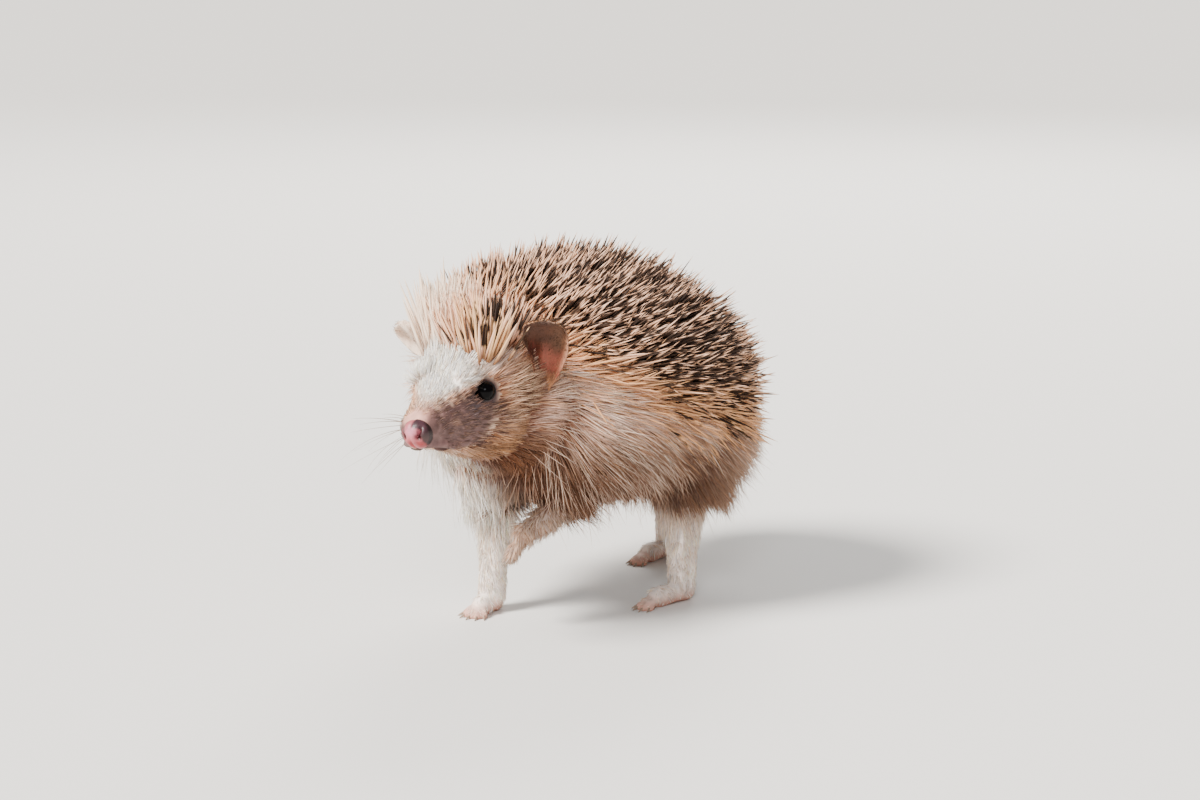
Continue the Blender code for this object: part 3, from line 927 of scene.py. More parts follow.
def skin_material():
    """Soft skin: mottled, finely pored and creased, glossier where it is wet."""
    material, tree, shader = new_material("skin")
    marking = node(tree, "ShaderNodeAttribute", attribute_name="Marking")
    wet = node(tree, "ShaderNodeAttribute", attribute_name="Wet")
    place = node(tree, "ShaderNodeTexCoord")
    mottle = node(tree, "ShaderNodeTexNoise")
    mottle.inputs["Scale"].default_value = 420
    mottle.inputs["Detail"].default_value = 4
    tree.links.new(place.outputs["Object"], mottle.inputs["Vector"])
    spread = node(tree, "ShaderNodeMapRange")
    spread.inputs["From Min"].default_value = 0.3
    spread.inputs["From Max"].default_value = 0.7
    spread.inputs["To Min"].default_value = 0.72
    spread.inputs["To Max"].default_value = 1.22
    tree.links.new(mottle.outputs["Fac"], spread.inputs["Value"])
    scaled = node(tree, "ShaderNodeVectorMath", operation="SCALE")
    tree.links.new(marking.outputs["Color"], scaled.inputs[0])
    tree.links.new(spread.outputs[0], scaled.inputs["Scale"])
    tree.links.new(scaled.outputs[0], shader.inputs["Base Color"])
    pores = node(tree, "ShaderNodeTexVoronoi")
    pores.inputs["Scale"].default_value = 2600
    tree.links.new(place.outputs["Object"], pores.inputs["Vector"])
    bump = node(tree, "ShaderNodeBump")
    bump.inputs["Strength"].default_value = 0.35
    bump.inputs["Distance"].default_value = 0.00012
    tree.links.new(pores.outputs["Distance"], bump.inputs["Height"])
    tree.links.new(bump.outputs[0], shader.inputs["Normal"])
    rough = node(tree, "ShaderNodeMapRange")
    rough.inputs["To Min"].default_value = 0.62
    rough.inputs["To Max"].default_value = 0.3
    tree.links.new(wet.outputs["Fac"], rough.inputs["Value"])
    tree.links.new(rough.outputs[0], shader.inputs["Roughness"])
    shader.inputs["Specular IOR Level"].default_value = 0.35
    return material


def streak_group():
    """Faint cloudy streaks from one colour to a deeper one."""
    group = bpy.data.node_groups.new("Streaks", "ShaderNodeTree")
    group.interface.new_socket("Scale", in_out="INPUT", socket_type="NodeSocketFloat")
    for name in ("Colour", "Deep colour"):
        group.interface.new_socket(name, in_out="INPUT", socket_type="NodeSocketColor")
    group.interface.new_socket("Colour", in_out="OUTPUT", socket_type="NodeSocketColor")
    given = node(group, "NodeGroupInput")
    out = node(group, "NodeGroupOutput")
    place = node(group, "ShaderNodeTexCoord")
    streaks = node(group, "ShaderNodeTexNoise")
    group.links.new(given.outputs["Scale"], streaks.inputs["Scale"])
    group.links.new(place.outputs["Object"], streaks.inputs["Vector"])
    tone = node(group, "ShaderNodeMix", data_type="RGBA")
    group.links.new(given.outputs["Colour"], tone.inputs["A"])
    group.links.new(given.outputs["Deep colour"], tone.inputs["B"])
    group.links.new(streaks.outputs["Fac"], tone.inputs["Factor"])
    group.links.new(tone.outputs["Result"], out.inputs["Colour"])
    return group


def streaked_material(name, group, colour, contrast, scale, roughness, specular=0.5):
    """A smooth horny or glassy finish with faint streaks."""
    material, tree, shader = new_material(name)
    streaks = node(tree, "ShaderNodeGroup", node_tree=group)
    streaks.inputs["Scale"].default_value = scale
    streaks.inputs["Colour"].default_value = (*colour, 1)
    streaks.inputs["Deep colour"].default_value = (*[c * contrast for c in colour], 1)
    tree.links.new(streaks.outputs["Colour"], shader.inputs["Base Color"])
    shader.inputs["Roughness"].default_value = roughness
    shader.inputs["Specular IOR Level"].default_value = specular
    return material


# --- The coat ----------------------------------------------------------------------------------
Roots = namedtuple("Roots", "points normals")
# Lean of the crown's quills to the left, by how far left of the head's middle they stand.
CROWN_FAN = [(-13, -0.12), (-4, -0.02), (-1, -0.42), (3, -0.40), (6, -0.12), (8, 0.25), (11, 0.85)]
# The lowest roots of the quills along each flank: (distance back, height).
QUILL_EDGE = [
    (-40, 83), (-34, 75), (-26, 66), (-16, 60.5), (-2, 56), (14, 53), (28, 51), (45, 48), (60, 46),
]


def quill_edge(back):
    """Height of the quills' lower edge at places along the body."""
    places, heights = zip(*QUILL_EDGE)
    return np.interp(back, places, heights)


def under_quills(points):
    """1 where quills grow and 0 where fur does."""
    q = to_head(points)
    forward, up = -q[:, 1], q[:, 2]
    trunk = ramp(points[:, 2] - quill_edge(points[:, 1]), -2.0, 1.0) * (1 - ramp(forward, -7, -4))
    front = 10.4 - 0.0032 * np.abs(q[:, 0] - 1) ** 3 + 0.5 * np.sin(1.9 * q[:, 0])
    far = ramp(-q[:, 0], 7, 10)
    crown = ramp(up + 3.5 * far, 2.6, 4.4) * ramp(forward, -8, -6)
    crown *= (1 - ramp(forward, front - 0.8, front + 0.4)) * (1 - ramp(q[:, 0], 11.5, 13))
    # Skin shows where the crown's quills part.
    parting = near((q[:, 0] + 2.2) / 1.1, (forward - 8) / 2.4)
    return np.maximum(trunk, crown * (1 - 0.9 * parting))


class Sampler:
    """Draws root places over a skin, as thick as a density function asks."""

    def __init__(self, piece):
        """Keeps the corners, points and normals of the skin, and its triangles' middles and areas."""
        mesh = piece.data
        mesh.calc_loop_triangles()
        self.corners = np.empty(len(mesh.loop_triangles) * 3, int)
        mesh.loop_triangles.foreach_get("vertices", self.corners)
        self.corners = self.corners.reshape(-1, 3)
        self.points = animal_points(mesh)
        self.normals = vectors_of(mesh, "normal")
        a, b, c = (self.points[self.corners[:, k]] for k in range(3))
        self.middles = (a + b + c) / 3
        self.areas = np.linalg.norm(np.cross(b - a, c - a), axis=1) / 2

    def draw(self, density, rng):
        """Roots with density(points) of them on each square millimetre."""
        weights = self.areas * density(self.middles)
        count = int(weights.sum())
        picks = rng.choice(len(weights), count, p=weights / weights.sum())
        r, s = rng.random(count), rng.random(count)
        flip = r + s > 1
        r[flip], s[flip] = 1 - r[flip], 1 - s[flip]
        share = np.stack([1 - r - s, r, s], 1)[..., None]
        corners = self.corners[picks]
        points = (self.points[corners] * share).sum(1)
        return Roots(points, unit((self.normals[corners] * share).sum(1)))


def spaced(roots, gap):
    """Drops roots that stand closer than the gap to one kept before them."""
    cells = {}
    kept = []
    for n, point in enumerate(roots.points):
        key = tuple((point // gap).astype(int))
        beside = [
            m
            for i in (-1, 0, 1)
            for j in (-1, 0, 1)
            for k in (-1, 0, 1)
            for m in cells.get((key[0] + i, key[1] + j, key[2] + k), ())
        ]
        if all(((roots.points[m] - point) ** 2).sum() > gap * gap for m in beside):
            cells.setdefault(key, []).append(n)
            kept.append(n)
    return Roots(roots.points[kept], roots.normals[kept])


def tangent(ways, normals):
    """The ways laid flat onto the skin."""
    return unit(ways - normals * dots(ways, normals)[:, None])


def lie(points, normals):
    """The way the coat runs: away from the nose over the head, then back and down the body."""
    q = to_head(points)
    head_share = ramp(-q[:, 1], -9, -1) * ramp(points[:, 2], 42, 50)
    away = q - np.array([0, NOSE.y + 2, NOSE.z])
    away[:, 2] *= 0.9
    head_way = unit(away) @ HEAD_WAYS
    low = 1 - ramp(points[:, 2], 32, 66)
    body_way = np.stack(
        [0.15 * np.sign(points[:, 0]), np.ones(len(points)) * (1 - 0.45 * low), -0.25 - 1.1 * low], 1
    )
    chest = (1 - ramp(points[:, 1], -36, -24)) * (1 - ramp(points[:, 2], 50, 62))
    body_way = mix(body_way, (0, -0.15, -1), chest)
    legs = 1 - ramp(points[:, 2], 26, 32)
    body_way = mix(body_way, (0, 0.1, -1), legs)
    return tangent(unit(mix(unit(body_way), head_way, head_share)), normals)


def turned(ways, normals, angles):
    """The ways turned about the normals by angles in radians."""
    side = np.cross(normals, ways)
    return ways * np.cos(angles)[:, None] + side * np.sin(angles)[:, None]


def unwrapped(points):
    """Places on a flat unwrap of the skin: a tube each for the trunk, the head and the legs."""
    q = to_head(points)
    body_round = np.arctan2(points[:, 0], points[:, 2] - 55) / math.tau + 0.5
    head_round = np.arctan2(q[:, 0], q[:, 2] + 6) / math.tau + 0.5
    leg_round = np.arctan2(points[:, 0], points[:, 1] - 12) / math.tau + 0.5
    body = np.stack([(points[:, 1] + 60) / 130, body_round], 1)
    head = np.stack([(q[:, 1] + 36) / 50, head_round], 1)
    limb = np.stack([points[:, 2] / 34, leg_round], 1)
    places = [0.02, 0.36] + body * [0.96, 0.62]
    on_head = (-q[:, 1] > -6) & (points[:, 2] > 46)
    on_leg = points[:, 2] < 30
    places[on_head] = [0.02, 0.02] + head[on_head] * [0.56, 0.32]
    places[on_leg] = [0.62, 0.02] + limb[on_leg] * [0.36, 0.32]
    return np.clip(places, 0.01, 0.99)


def spike_points(roots, first, last, lengths, widths, profile, sides, extra):
    """Rings of points up each spike and its tip, as it turns from the first way to the last way."""
    count, rings = len(roots.points), len(profile)
    t = np.array([p[0] for p in profile] + [1.0])
    centre = roots.points[:, None] + lengths[:, None, None] * (
        first[:, None] * (t - 0.5 * t * t)[:, None] + last[:, None] * (0.5 * t * t)[:, None]
    )
    centre += extra["bend"][:, None] * (t**1.6)[None, :, None]
    ways = unit(np.gradient(centre, axis=1))
    side = unit(np.cross(ways, roots.normals[:, None] + 1e-3))
    up = np.cross(side, ways)
    angles = np.arange(sides) * math.tau / sides + extra["spin"][:, None]
    ring_width = widths[:, None] * np.array([p[1] for p in profile])[None]
    around = (
        side[:, :rings, None] * np.cos(angles)[:, None, :, None]
        + up[:, :rings, None] * np.sin(angles)[:, None, :, None]
    )
    rims = centre[:, :rings, None] + around * ring_width[:, :, None, None]
    points = np.concatenate([rims.reshape(count, -1, 3), centre[:, -1:]], 1)
    points[..., 2] = np.maximum(points[..., 2], HAIR_CLEARANCE)
    return points


def spike_faces(rings, sides):
    """The faces of one closed spike: its wall, its pointed end and its root."""
    faces = []
    for i in range(rings - 1):
        for j in range(sides):
            k = (j + 1) % sides
            faces.append([i * sides + j, i * sides + k, (i + 1) * sides + k, (i + 1) * sides + j])
    last = (rings - 1) * sides
    for j in range(sides):
        faces.append([last + j, last + (j + 1) % sides, rings * sides])
    faces.append(list(range(sides))[::-1])
    return faces


def mesh_from_arrays(name, points, corners, totals):
    """A mesh from its points, the points at its faces' corners and each face's corner count."""
    mesh = bpy.data.meshes.new(name)
    mesh.vertices.add(len(points))
    mesh.vertices.foreach_set("co", points.ravel())
    mesh.loops.add(len(corners))
    mesh.loops.foreach_set("vertex_index", corners)
    mesh.polygons.add(len(totals))
    mesh.polygons.foreach_set("loop_start", np.concatenate([[0], np.cumsum(totals)[:-1]]))
    mesh.polygons.foreach_set("loop_total", totals)
    mesh.update(calc_edges=True)
    mesh.validate()
    mesh.shade_smooth()
    return mesh


def strands(name, material, roots, first, last, lengths, widths, profile, sides, extra):
    """Closed tapered spikes from their roots, joined into one piece.

    profile is (share of the length, share of the width) for each ring; extra holds Tint, Band
    and Shift for each strand, bend, an offset that grows towards the tip, and spin about it.
    """
    count, rings = len(roots.points), len(profile)
    points = spike_points(roots, first, last, lengths, widths, profile, sides, extra)
    per = rings * sides + 1
    faces = spike_faces(rings, sides)
    one_spike = np.array([v for face in faces for v in face])
    corners = ((np.arange(count) * per)[:, None] + one_spike[None]).ravel()
    totals = np.tile([len(face) for face in faces], count)
    placed = (points.reshape(-1, 3) + np.array(TO_ORIGIN)) * MM
    mesh = mesh_from_arrays(name, placed, corners, totals)
    along = np.concatenate([np.repeat([p[0] for p in profile], sides), [1.0]])
    number(mesh, "Along", np.tile(along, count))
    number(mesh, "Band", np.repeat(extra["band"], per))
    number(mesh, "Shift", np.repeat(extra["shift"], per))
    paint(mesh, "Tint", np.repeat(extra["tint"], per, axis=0))
    turn = np.concatenate([np.tile(np.arange(sides) / sides, rings), [0.5]])
    uv = unwrapped(roots.points)[:, None] + TUFT_PATCH * (np.stack([turn, along], 1)[None] - 0.5)
    layer = mesh.uv_layers.new(name="OFBake")
    layer.uv.foreach_set("vector", uv.reshape(-1, 2)[corners].ravel())
    mesh.materials.append(material)
    return add_object(name, mesh)


def planted(names, which, material, roots, first, last, lengths, widths, profile, sides, extra):
    """One piece of strands for each name; which says the piece that each strand belongs to."""
    pieces = []
    for n, name in enumerate(names):
        own = which == n
        start = Roots(roots.points[own], roots.normals[own])
        sizes = (first[own], last[own], lengths[own], widths[own])
        values = {key: value[own] for key, value in extra.items()}
        pieces.append(strands(name, material, start, *sizes, profile, sides, values))
    return pieces


def pull_to_locks(roots, tips, per_lock, strength, rng):
    """How far each tip is drawn towards the tip of its lock, and which lock that is."""
    count = len(tips)
    leaders = rng.choice(count, max(1, count // per_lock), replace=False)
    tree = KDTree(len(leaders))
    for n, leader in enumerate(leaders):
        tree.insert(roots.points[leader], n)
    tree.balance()
    lock = np.array([tree.find(p)[1] for p in roots.points])
    return (tips[leaders[lock]] - tips) * strength, lock


# The roots' points, normals and places in the head's frame, then how far each is of a region.
QuillField = namedtuple("QuillField", "p n q forward crown edge rear nape stern far")
# (share of the length, share of the width) up a quill.
QUILL_PROFILE = [(0.0, 0.6), (0.15, 0.95), (0.55, 1.0), (0.76, 0.78), (0.91, 0.38)]


def quill_density(gap, on_crown):
    """Four roots to each square of the gap's side, for spaced() to thin; on the crown or off it."""

    def density(p):
        return 4 / gap**2 * under_quills(p) * ((-to_head(p)[:, 1] > -5) == on_crown)

    return density


def quill_field(roots):
    """How far each root belongs to the crown, the lower edge, the nape and the rump."""
    p, n = roots
    q = to_head(p)
    forward = -q[:, 1]
    crown = ramp(forward, -12, -3)
    edge = (1 - ramp(p[:, 2] - quill_edge(p[:, 1]), 0, 10)) * (1 - crown)
    rear = ramp(p[:, 1], 22, 48)
    nape = near((p[:, 1] + 22) / 13)
    stern = ramp(p[:, 1], 28, 40) * ramp(p[:, 2], 52, 60)
    far = crown * ramp(-q[:, 0], 3, 10)
    return QuillField(p, n, q, forward, crown, edge, rear, nape, stern, far)


def quill_ways(f, rng):
    """They sweep back over the body, lower towards the edge, the nape and the rump."""
    p, n, count = f.p, f.n, len(f.p)
    back_way = tangent(np.tile([0.0, 1.0, 0.05], (count, 1)), n)
    flow = tangent(mix(back_way, lie(p, n), 0.25 + 0.5 * f.edge), n)
    flow = turned(flow, n, 0.5 * cloudiness(p, 9, 1) + rng.normal(0, 0.36, count))
    back = ramp(p[:, 1], 8, 36)
    stand = 47 - 22 * f.edge - 18 * f.rear - 7 * f.nape - 2 * back + 8 * cloudiness(p, 6, 2)
    stand = np.radians(stand - 12 * f.stern + rng.normal(0, 8, count))
    ways = flow * np.cos(stand)[:, None] + n * np.sin(stand)[:, None]
    # On the crown they part near the middle and stand up: the left tuft fans out from over the eye.
    lean_back = 0.15 + 0.04 * (8 - f.forward)
    sides, leans = zip(*CROWN_FAN)
    across = np.interp(f.q[:, 0], sides, leans) - 0.45 * lean_back
    up_way = unit(np.stack([across, lean_back, np.ones(count)], 1)) @ HEAD_WAYS
    ways = unit(mix(ways, up_way, 0.95 * f.crown))
    return unit(ways + rng.normal(0, 1, (count, 3)) * (0.08 + 0.06 * f.crown)[:, None])


def quill_lengths(f, rng):
    """Longest over the middle of the back and on the crown's far side, short on the rump."""
    rim = f.crown * ramp(f.forward, 5, 9)
    lengths = QUILL_LENGTH - 1.0 * f.edge - 2.6 * f.crown - 5.0 * f.rear + 8.4 * f.far - 1.6 * f.nape
    lengths = lengths - 1.2 * rim * (1 - f.far)
    lengths += 2.2 * near((f.p[:, 1] - 22) / 12) * ramp(f.p[:, 2], 62, 72) - 1.0 * f.rear
    lengths -= 2.6 * f.stern
    return lengths * rng.normal(1, 0.10, len(lengths))


def quill_tints(f, rng):
    """Cream quills, tan at the lower edge, white to the rear and golden over the left eye."""
    count = len(f.p)
    tone = rng.random(count)
    tan = np.clip(0.9 * f.edge + 0.5 * tone - 0.1, 0, 1) * (1 - 0.45 * f.rear)
    tint = mix(rows(CREAM_QUILL, count), TAN_QUILL, tan)
    tint = mix(tint, WHITE_FUR, np.clip(0.24 * rng.random(count) * (1 - f.edge) + 0.42 * f.rear, 0, 1))
    right = f.crown * (1 - ramp(f.q[:, 0], -6, 3))
    tint = mix(tint, CROWN_QUILL, 0.9 * right)
    golden = f.crown * ramp(f.q[:, 0], -1, 5) * ramp(f.forward, -2, 5) * (tone < 0.6)
    tint = mix(tint, GOLDEN_QUILL, 0.8 * golden)
    return tint * (1 - 0.22 * rng.random((count, 1)) * (1 - 0.6 * f.crown)[:, None])


def quill_bands(f, rng):
    """How dark each quill's band is, or 0; fewest have one on the crown and along the edge."""
    count = len(f.p)
    left = ramp(f.q[:, 0], 0, 9)
    pale = 0.03 + 0.92 * f.crown * (1 - 0.5 * left) + 0.22 * f.rear + 0.5 * f.edge
    pale += f.edge * (1 - ramp(f.p[:, 1], -18, -8))
    return (rng.random(count) > pale) * rng.uniform(0.92, 1.0, count)


def grow_quills(sampler, material, rng):
    """Banded quills over the back, the rump and the crown."""
    stands = []
    for gap, on_crown in ((BACK_GAP, False), (CROWN_GAP, True)):
        stands.append(spaced(sampler.draw(quill_density(gap, on_crown), rng), gap))
    f = quill_field(Roots(*(np.concatenate(parts) for parts in zip(*stands))))
    count = len(f.p)
    ways = quill_ways(f, rng)
    lengths = quill_lengths(f, rng)
    widths = (QUILL_HALF_WIDTH - 0.05 * f.edge + 0.05 * f.crown + 0.05 * f.far) * rng.normal(1, 0.12, count)
    # The band reaches nearest to the tips over the middle of the back.
    saddle = near((f.p[:, 1] - 4) / 20) * (1 - f.edge) * (1 - f.crown)
    extra = {
        "tint": quill_tints(f, rng),
        "band": quill_bands(f, rng),
        "shift": rng.normal(0, 0.06, count) - 0.1 * f.crown - 0.11 * saddle,
        "bend": f.n * rng.normal(0, 0.35, (count, 1)),
        "spin": rng.random(count) * 6,
    }
    start = Roots(f.p - f.n * 0.6, f.n)
    names = ["quills_left", "quills_right", "quills_crown"]
    which = np.where(f.forward > CROWN_END, 2, np.where(f.p[:, 0] > 0, 0, 1))
    which[through_ear(1, f.p, ways, lengths) | through_ear(-1, f.p, ways, lengths)] = -1
    return planted(names, which, material, start, ways, ways, lengths, widths, QUILL_PROFILE, 4, extra)


def through_ear(side, points, ways, lengths):
    """True for the quills that would run through an ear."""
    root, tip, across, face = (np.array(v) for v in ear_frame(side))
    span = np.linalg.norm(tip - root)
    hit = np.zeros(len(points), bool)
    for t in (0.2, 0.4, 0.6, 0.8, 1.0):
        away = to_head(points + ways * (lengths * t)[:, None]) - root
        high = away @ (tip - root) / span**2
        deep = away @ face
        hit |= (high > 0) & (high < 1.06) & (np.abs(away @ across) < 7) & (deep > -5.5) & (deep < 1.2)
    return hit


def border_density(p):
    """Coarse tan bristles along the line where quills give way to fur."""
    q = to_head(p)
    gap = p[:, 2] - quill_edge(p[:, 1])
    behind = 1 - ramp(-q[:, 1], -9, -5)
    return 1.8 * ramp(gap, -7, -2) * (1 - ramp(gap, 2, 7)) * behind


def even(*values):
    """A shape that is the same everywhere: length, stand and width, then lock, pull and wander."""

    def shape(p, q):
        return *(value * np.ones(len(p)) for value in values[:3]), *values[3:]

    return shape


def border_colours(p, q, rng):
    """Cream to tan, whiter towards the rump."""
    colour = mix(rows(CREAM_QUILL, len(p)), TAN_QUILL, rng.random(len(p)))
    return mix(colour, WHITE_FUR, ramp(p[:, 1], 15, 42) * 0.5)


def ear_ways(side):
    """Hair on an ear runs from its root to its tip and a little outwards."""
    root, tip, across, _ = ear_frame(side)
    turn = HEAD.to_3x3()
    up = np.array(turn @ (tip - root).normalized())
    middle = np.array(HEAD @ root)
    wide = np.array(turn @ across)

    def ways(p, n):
        out = ((p - middle) @ wide)[:, None] * wide * 0.12
        return tangent(unit(up + out), n)

    return ways


def ear_shape(side):
    """Short hair, a little longer at an ear's root and tip."""
    root, tip, _, _ = ear_frame(side)
    length = (tip - root).length

    def shape(p, q):
        count = len(p)
        high = (q - np.array(root)) @ np.array((tip - root).normalized()) / length
        lengths = 0.9 + 1.6 * (1 - ramp(high, 0.05, 0.3)) + 0.5 * ramp(high, 0.85, 1.0)
        return lengths, 26 * np.ones(count), 0.055 * np.ones(count), 8, 0.2, 0.2

    return shape


def ear_density(side):
    """Short hair all over an ear, thinner inside the right one."""
    root, _, across, _ = (np.array(v) for v in ear_frame(side))

    def density(p):
        away = to_head(p) - root
        inside = (1 - ramp(np.abs(away @ across), 1.6, 2.8)) * (side < 0)
        return 4.5 - 4.0 * inside

    return density


def ear_colours(p, q, rng):
    """Brown hair on the left ear; pale hair on the right one, brown down its groove."""
    high = ramp(q[:, 2], 2, 6)
    colour = mix(rows(EAR_LOW_HAIR, len(p)), EAR_HIGH_HAIR, high)
    root, _, across, _ = ear_frame(-1)
    middle = 1 - ramp(np.abs((q - np.array(root)) @ np.array(across)), 1.6, 2.8)
    right = mix(rows(RIGHT_EAR_HAIR, len(p)), RIGHT_GROOVE_HAIR, middle)
    colour = np.where(q[:, :1] < 0, right, colour)
    return colour * rng.normal(1, 0.15, (len(p), 1))


def fringe_density(p):
    """Longer hairs stand along the front of the left ear's opening and over its root."""
    q = to_head(p)
    back, up = q[:, 1], q[:, 2]
    return 11 * (near((back + 4.0) / 2.8, (up + 4.0) / 3.6) * ramp(q[:, 0], 8, 11))


def fringe_colours(p, q, rng):
    """About a third of the fringe is brown."""
    dark = (rng.random(len(p)) < 0.35)[:, None]
    return np.where(dark, np.array(BROWN_FUR), np.array(FRINGE_PALE)) * rng.normal(1, 0.1, (len(p), 1))


def chest_region(p, x_from, x_to):
    """1 on the chest's front, fading upwards and towards the left."""
    front = 1 - ramp(p[:, 1], -34, -27)
    return front * (1 - ramp(p[:, 2], 52, 62)) * (1 - ramp(p[:, 0], x_from, x_to))


def body_colours(p, forward, up, left):
    """Pinkish flanks, painted shade in tan and brown below, a greyer rump and a white chest; and their
    noise.
    """
    patch = cloudiness(p, 7, 3)
    colour = mix(rows(WARM_FUR, len(p)), WHITE_FUR, np.clip(0.04 + 0.35 * patch, 0, 1))
    neck = near((p[:, 1] + 26) / 12, (p[:, 2] - 66) / 9)
    colour = mix(colour, NECK_FUR, 0.7 * neck)
    # Painted shade: the fur turns tan and then deep brown towards the belly, where the body would shade it.
    low = 1 - ramp(p[:, 2], 36, 60)
    colour = mix(colour, LOW_SHADE_TAN, np.clip(0.80 * low + 0.3 * patch * low, 0, 0.95))
    brown = (1 - ramp(p[:, 2] + 3 * patch, 45, 60)) * (1 - 0.60 * ramp(p[:, 1], 10, 28))
    colour = mix(colour, BROWN_FUR, 0.95 * brown)
    # The rear half turns greyer and darker: partly the coat's own greyer tone, partly painted shade.
    colour = mix(colour, RUMP_GREY_AND_SHADE, 0.75 * ramp(p[:, 1], 2, 42))
    upper_arm = (1 - ramp(p[:, 1], -20, -12)) * (1 - ramp(p[:, 0], -4, 4)) * (1 - ramp(p[:, 2], 44, 54))
    chest = np.maximum(chest_region(p, 3, 15), upper_arm)
    colour = mix(colour, CHEST_FUR, 0.97 * chest)
    # Painted shade: the fur under the jaw is darkened where the head would shade it.
    jaw_shade = near((forward - 1) / 8, (up + 21) / 6) * ramp(left, -6, 3)
    return mix(colour, UNDER_JAW_SHADE, 0.9 * jaw_shade * (1 - 0.9 * chest)), patch


def muzzle_colours(colour, q, face, rng):
    """Dark and pale hairs mixed on the grey of the muzzle, and a white chin."""
    forward, up = -q[:, 1], q[:, 2]
    grey = grey_zone(q) * face
    streak = rng.random(len(q))
    dark = (streak < 0.50) * (rng.random(len(q)) < grey)
    light = (streak >= 0.50) * ramp(grey, 0.1, 0.8)
    colour = mix(colour, MUZZLE_DARK_HAIR, 0.9 * dark)
    colour = mix(colour, MUZZLE_PALE_HAIR, 0.88 * light)
    chin = face * ramp(forward, 12, 18) * (1 - ramp(up - mouth_line(forward), -1.2, -0.4))
    return mix(colour, WHITE_FUR, chin)


def coat_colours(p, q, rng):
    """The fur's colours, place by place: white face, cream cheeks and flanks, tan and brown painted shade
    below.
    """
    count = len(p)
    forward, side, up = -q[:, 1], np.abs(q[:, 0]), q[:, 2]
    colour, patch = body_colours(p, forward, up, q[:, 0])
    face = ramp(forward, 0, 5) * ramp(p[:, 2], 46, 52)
    brow = ramp(up + 0.25 * forward, 2.4, 4.4) * (1 - 0.75 * ramp(q[:, 0], 5, 12))
    colour = mix(colour, WHITE_FUR, face * brow)
    cheek = face * (1 - brow)
    colour = mix(colour, CHEEK_FUR, 0.8 * cheek * ramp(patch, -0.9, 0.5))
    # Painted shade: the throat under the chin is darkened where the head would shade it.
    throat_shade = face * (1 - ramp(up, -14, -8)) * (1 - ramp(forward, 8, 15))
    colour = mix(colour, THROAT_SHADE, 0.75 * throat_shade)
    colour = muzzle_colours(colour, q, face, rng)
    # Painted shade: dark fur where the coat parts round the ear's root.
    ear = near((side - 14.5) / 2.2, (up + 1.0) / 5.0, forward / 2.0)
    colour = mix(colour, EAR_ROOT_SHADE_FUR, 0.8 * ear)
    legs = 1 - ramp(p[:, 2], 26, 34)
    colour = mix(colour, LEG_FUR, 0.92 * legs)
    thigh = ramp(p[:, 1], 5, 10) * ramp(p[:, 2], 20, 34) * legs
    colour = mix(colour, THIGH_FUR, thigh)
    # Painted shade on the lifted foreleg's fur.
    colour = mix(colour, FOLDED_LEG_SHADE_FUR, 0.9 * legs * folded_leg_shade(p))
    # Hairs differ from their neighbours, more where the coat is cream than where it is white.
    spread = 0.19 - 0.12 * face * brow - 0.06 * legs
    fine = 1 + rng.normal(0, 1, count) * spread
    warm = rng.normal(0, 0.04, count)
    tints = np.stack([fine * (1 + warm), fine, fine * (1 - 2 * warm)], 1)
    return np.clip(colour * tints, 0, 1)


def clear_of_face(p):
    """0 on the eyes and the nose pad, 1 elsewhere."""
    q = to_head(p)
    free = np.ones(len(p))
    for side in (-1, 1):
        centre, out = eye_place(side)
        away = q - np.array(centre)
        flat = np.linalg.norm(away - np.outer(away @ np.array(out), out), axis=1)
        open_eye = (1 - ramp(flat, 3.0, 3.5)) * ramp(away @ np.array(out), -3, -1)
        free *= 1 - open_eye
    free *= ramp(np.linalg.norm(q - np.array(NOSE), axis=1), 4.3, 4.9)
    return free


def fur_density(p):
    """Hairs on a square millimetre: dense and short on the face, thin on the belly and grey skin."""
    q = to_head(p)
    forward, up = -q[:, 1], q[:, 2]
    bare = 1 - under_quills(p)
    face = ramp(forward, 0, 9) * ramp(p[:, 2], 48, 52)
    grey = grey_zone(q)
    far_side = 1 - 0.4 * ramp(-p[:, 0], 5, 20)
    flank = 4.4 * ramp(p[:, 2], 30, 36) * far_side
    belly = 1.5 * (1 - ramp(p[:, 2], 33, 38))
    density = flank + belly
    density = density * (1 - face) + face * 13.0 * (1 - 0.74 * grey)
    # The lips under the nose are bare.
    density *= 1 - ramp(forward, 24.5, 26.5) * (1 - ramp(up, -12, -10))
    density *= 1 - near((up - mouth_line(forward)) / 0.9) * ramp(forward, 14, 16) * face
    return density * bare * clear_of_face(p)


# (share of the length, share of the width) up a hair.
HAIR_PROFILE = [(0.0, 0.8), (0.35, 1.0), (0.72, 0.62)]


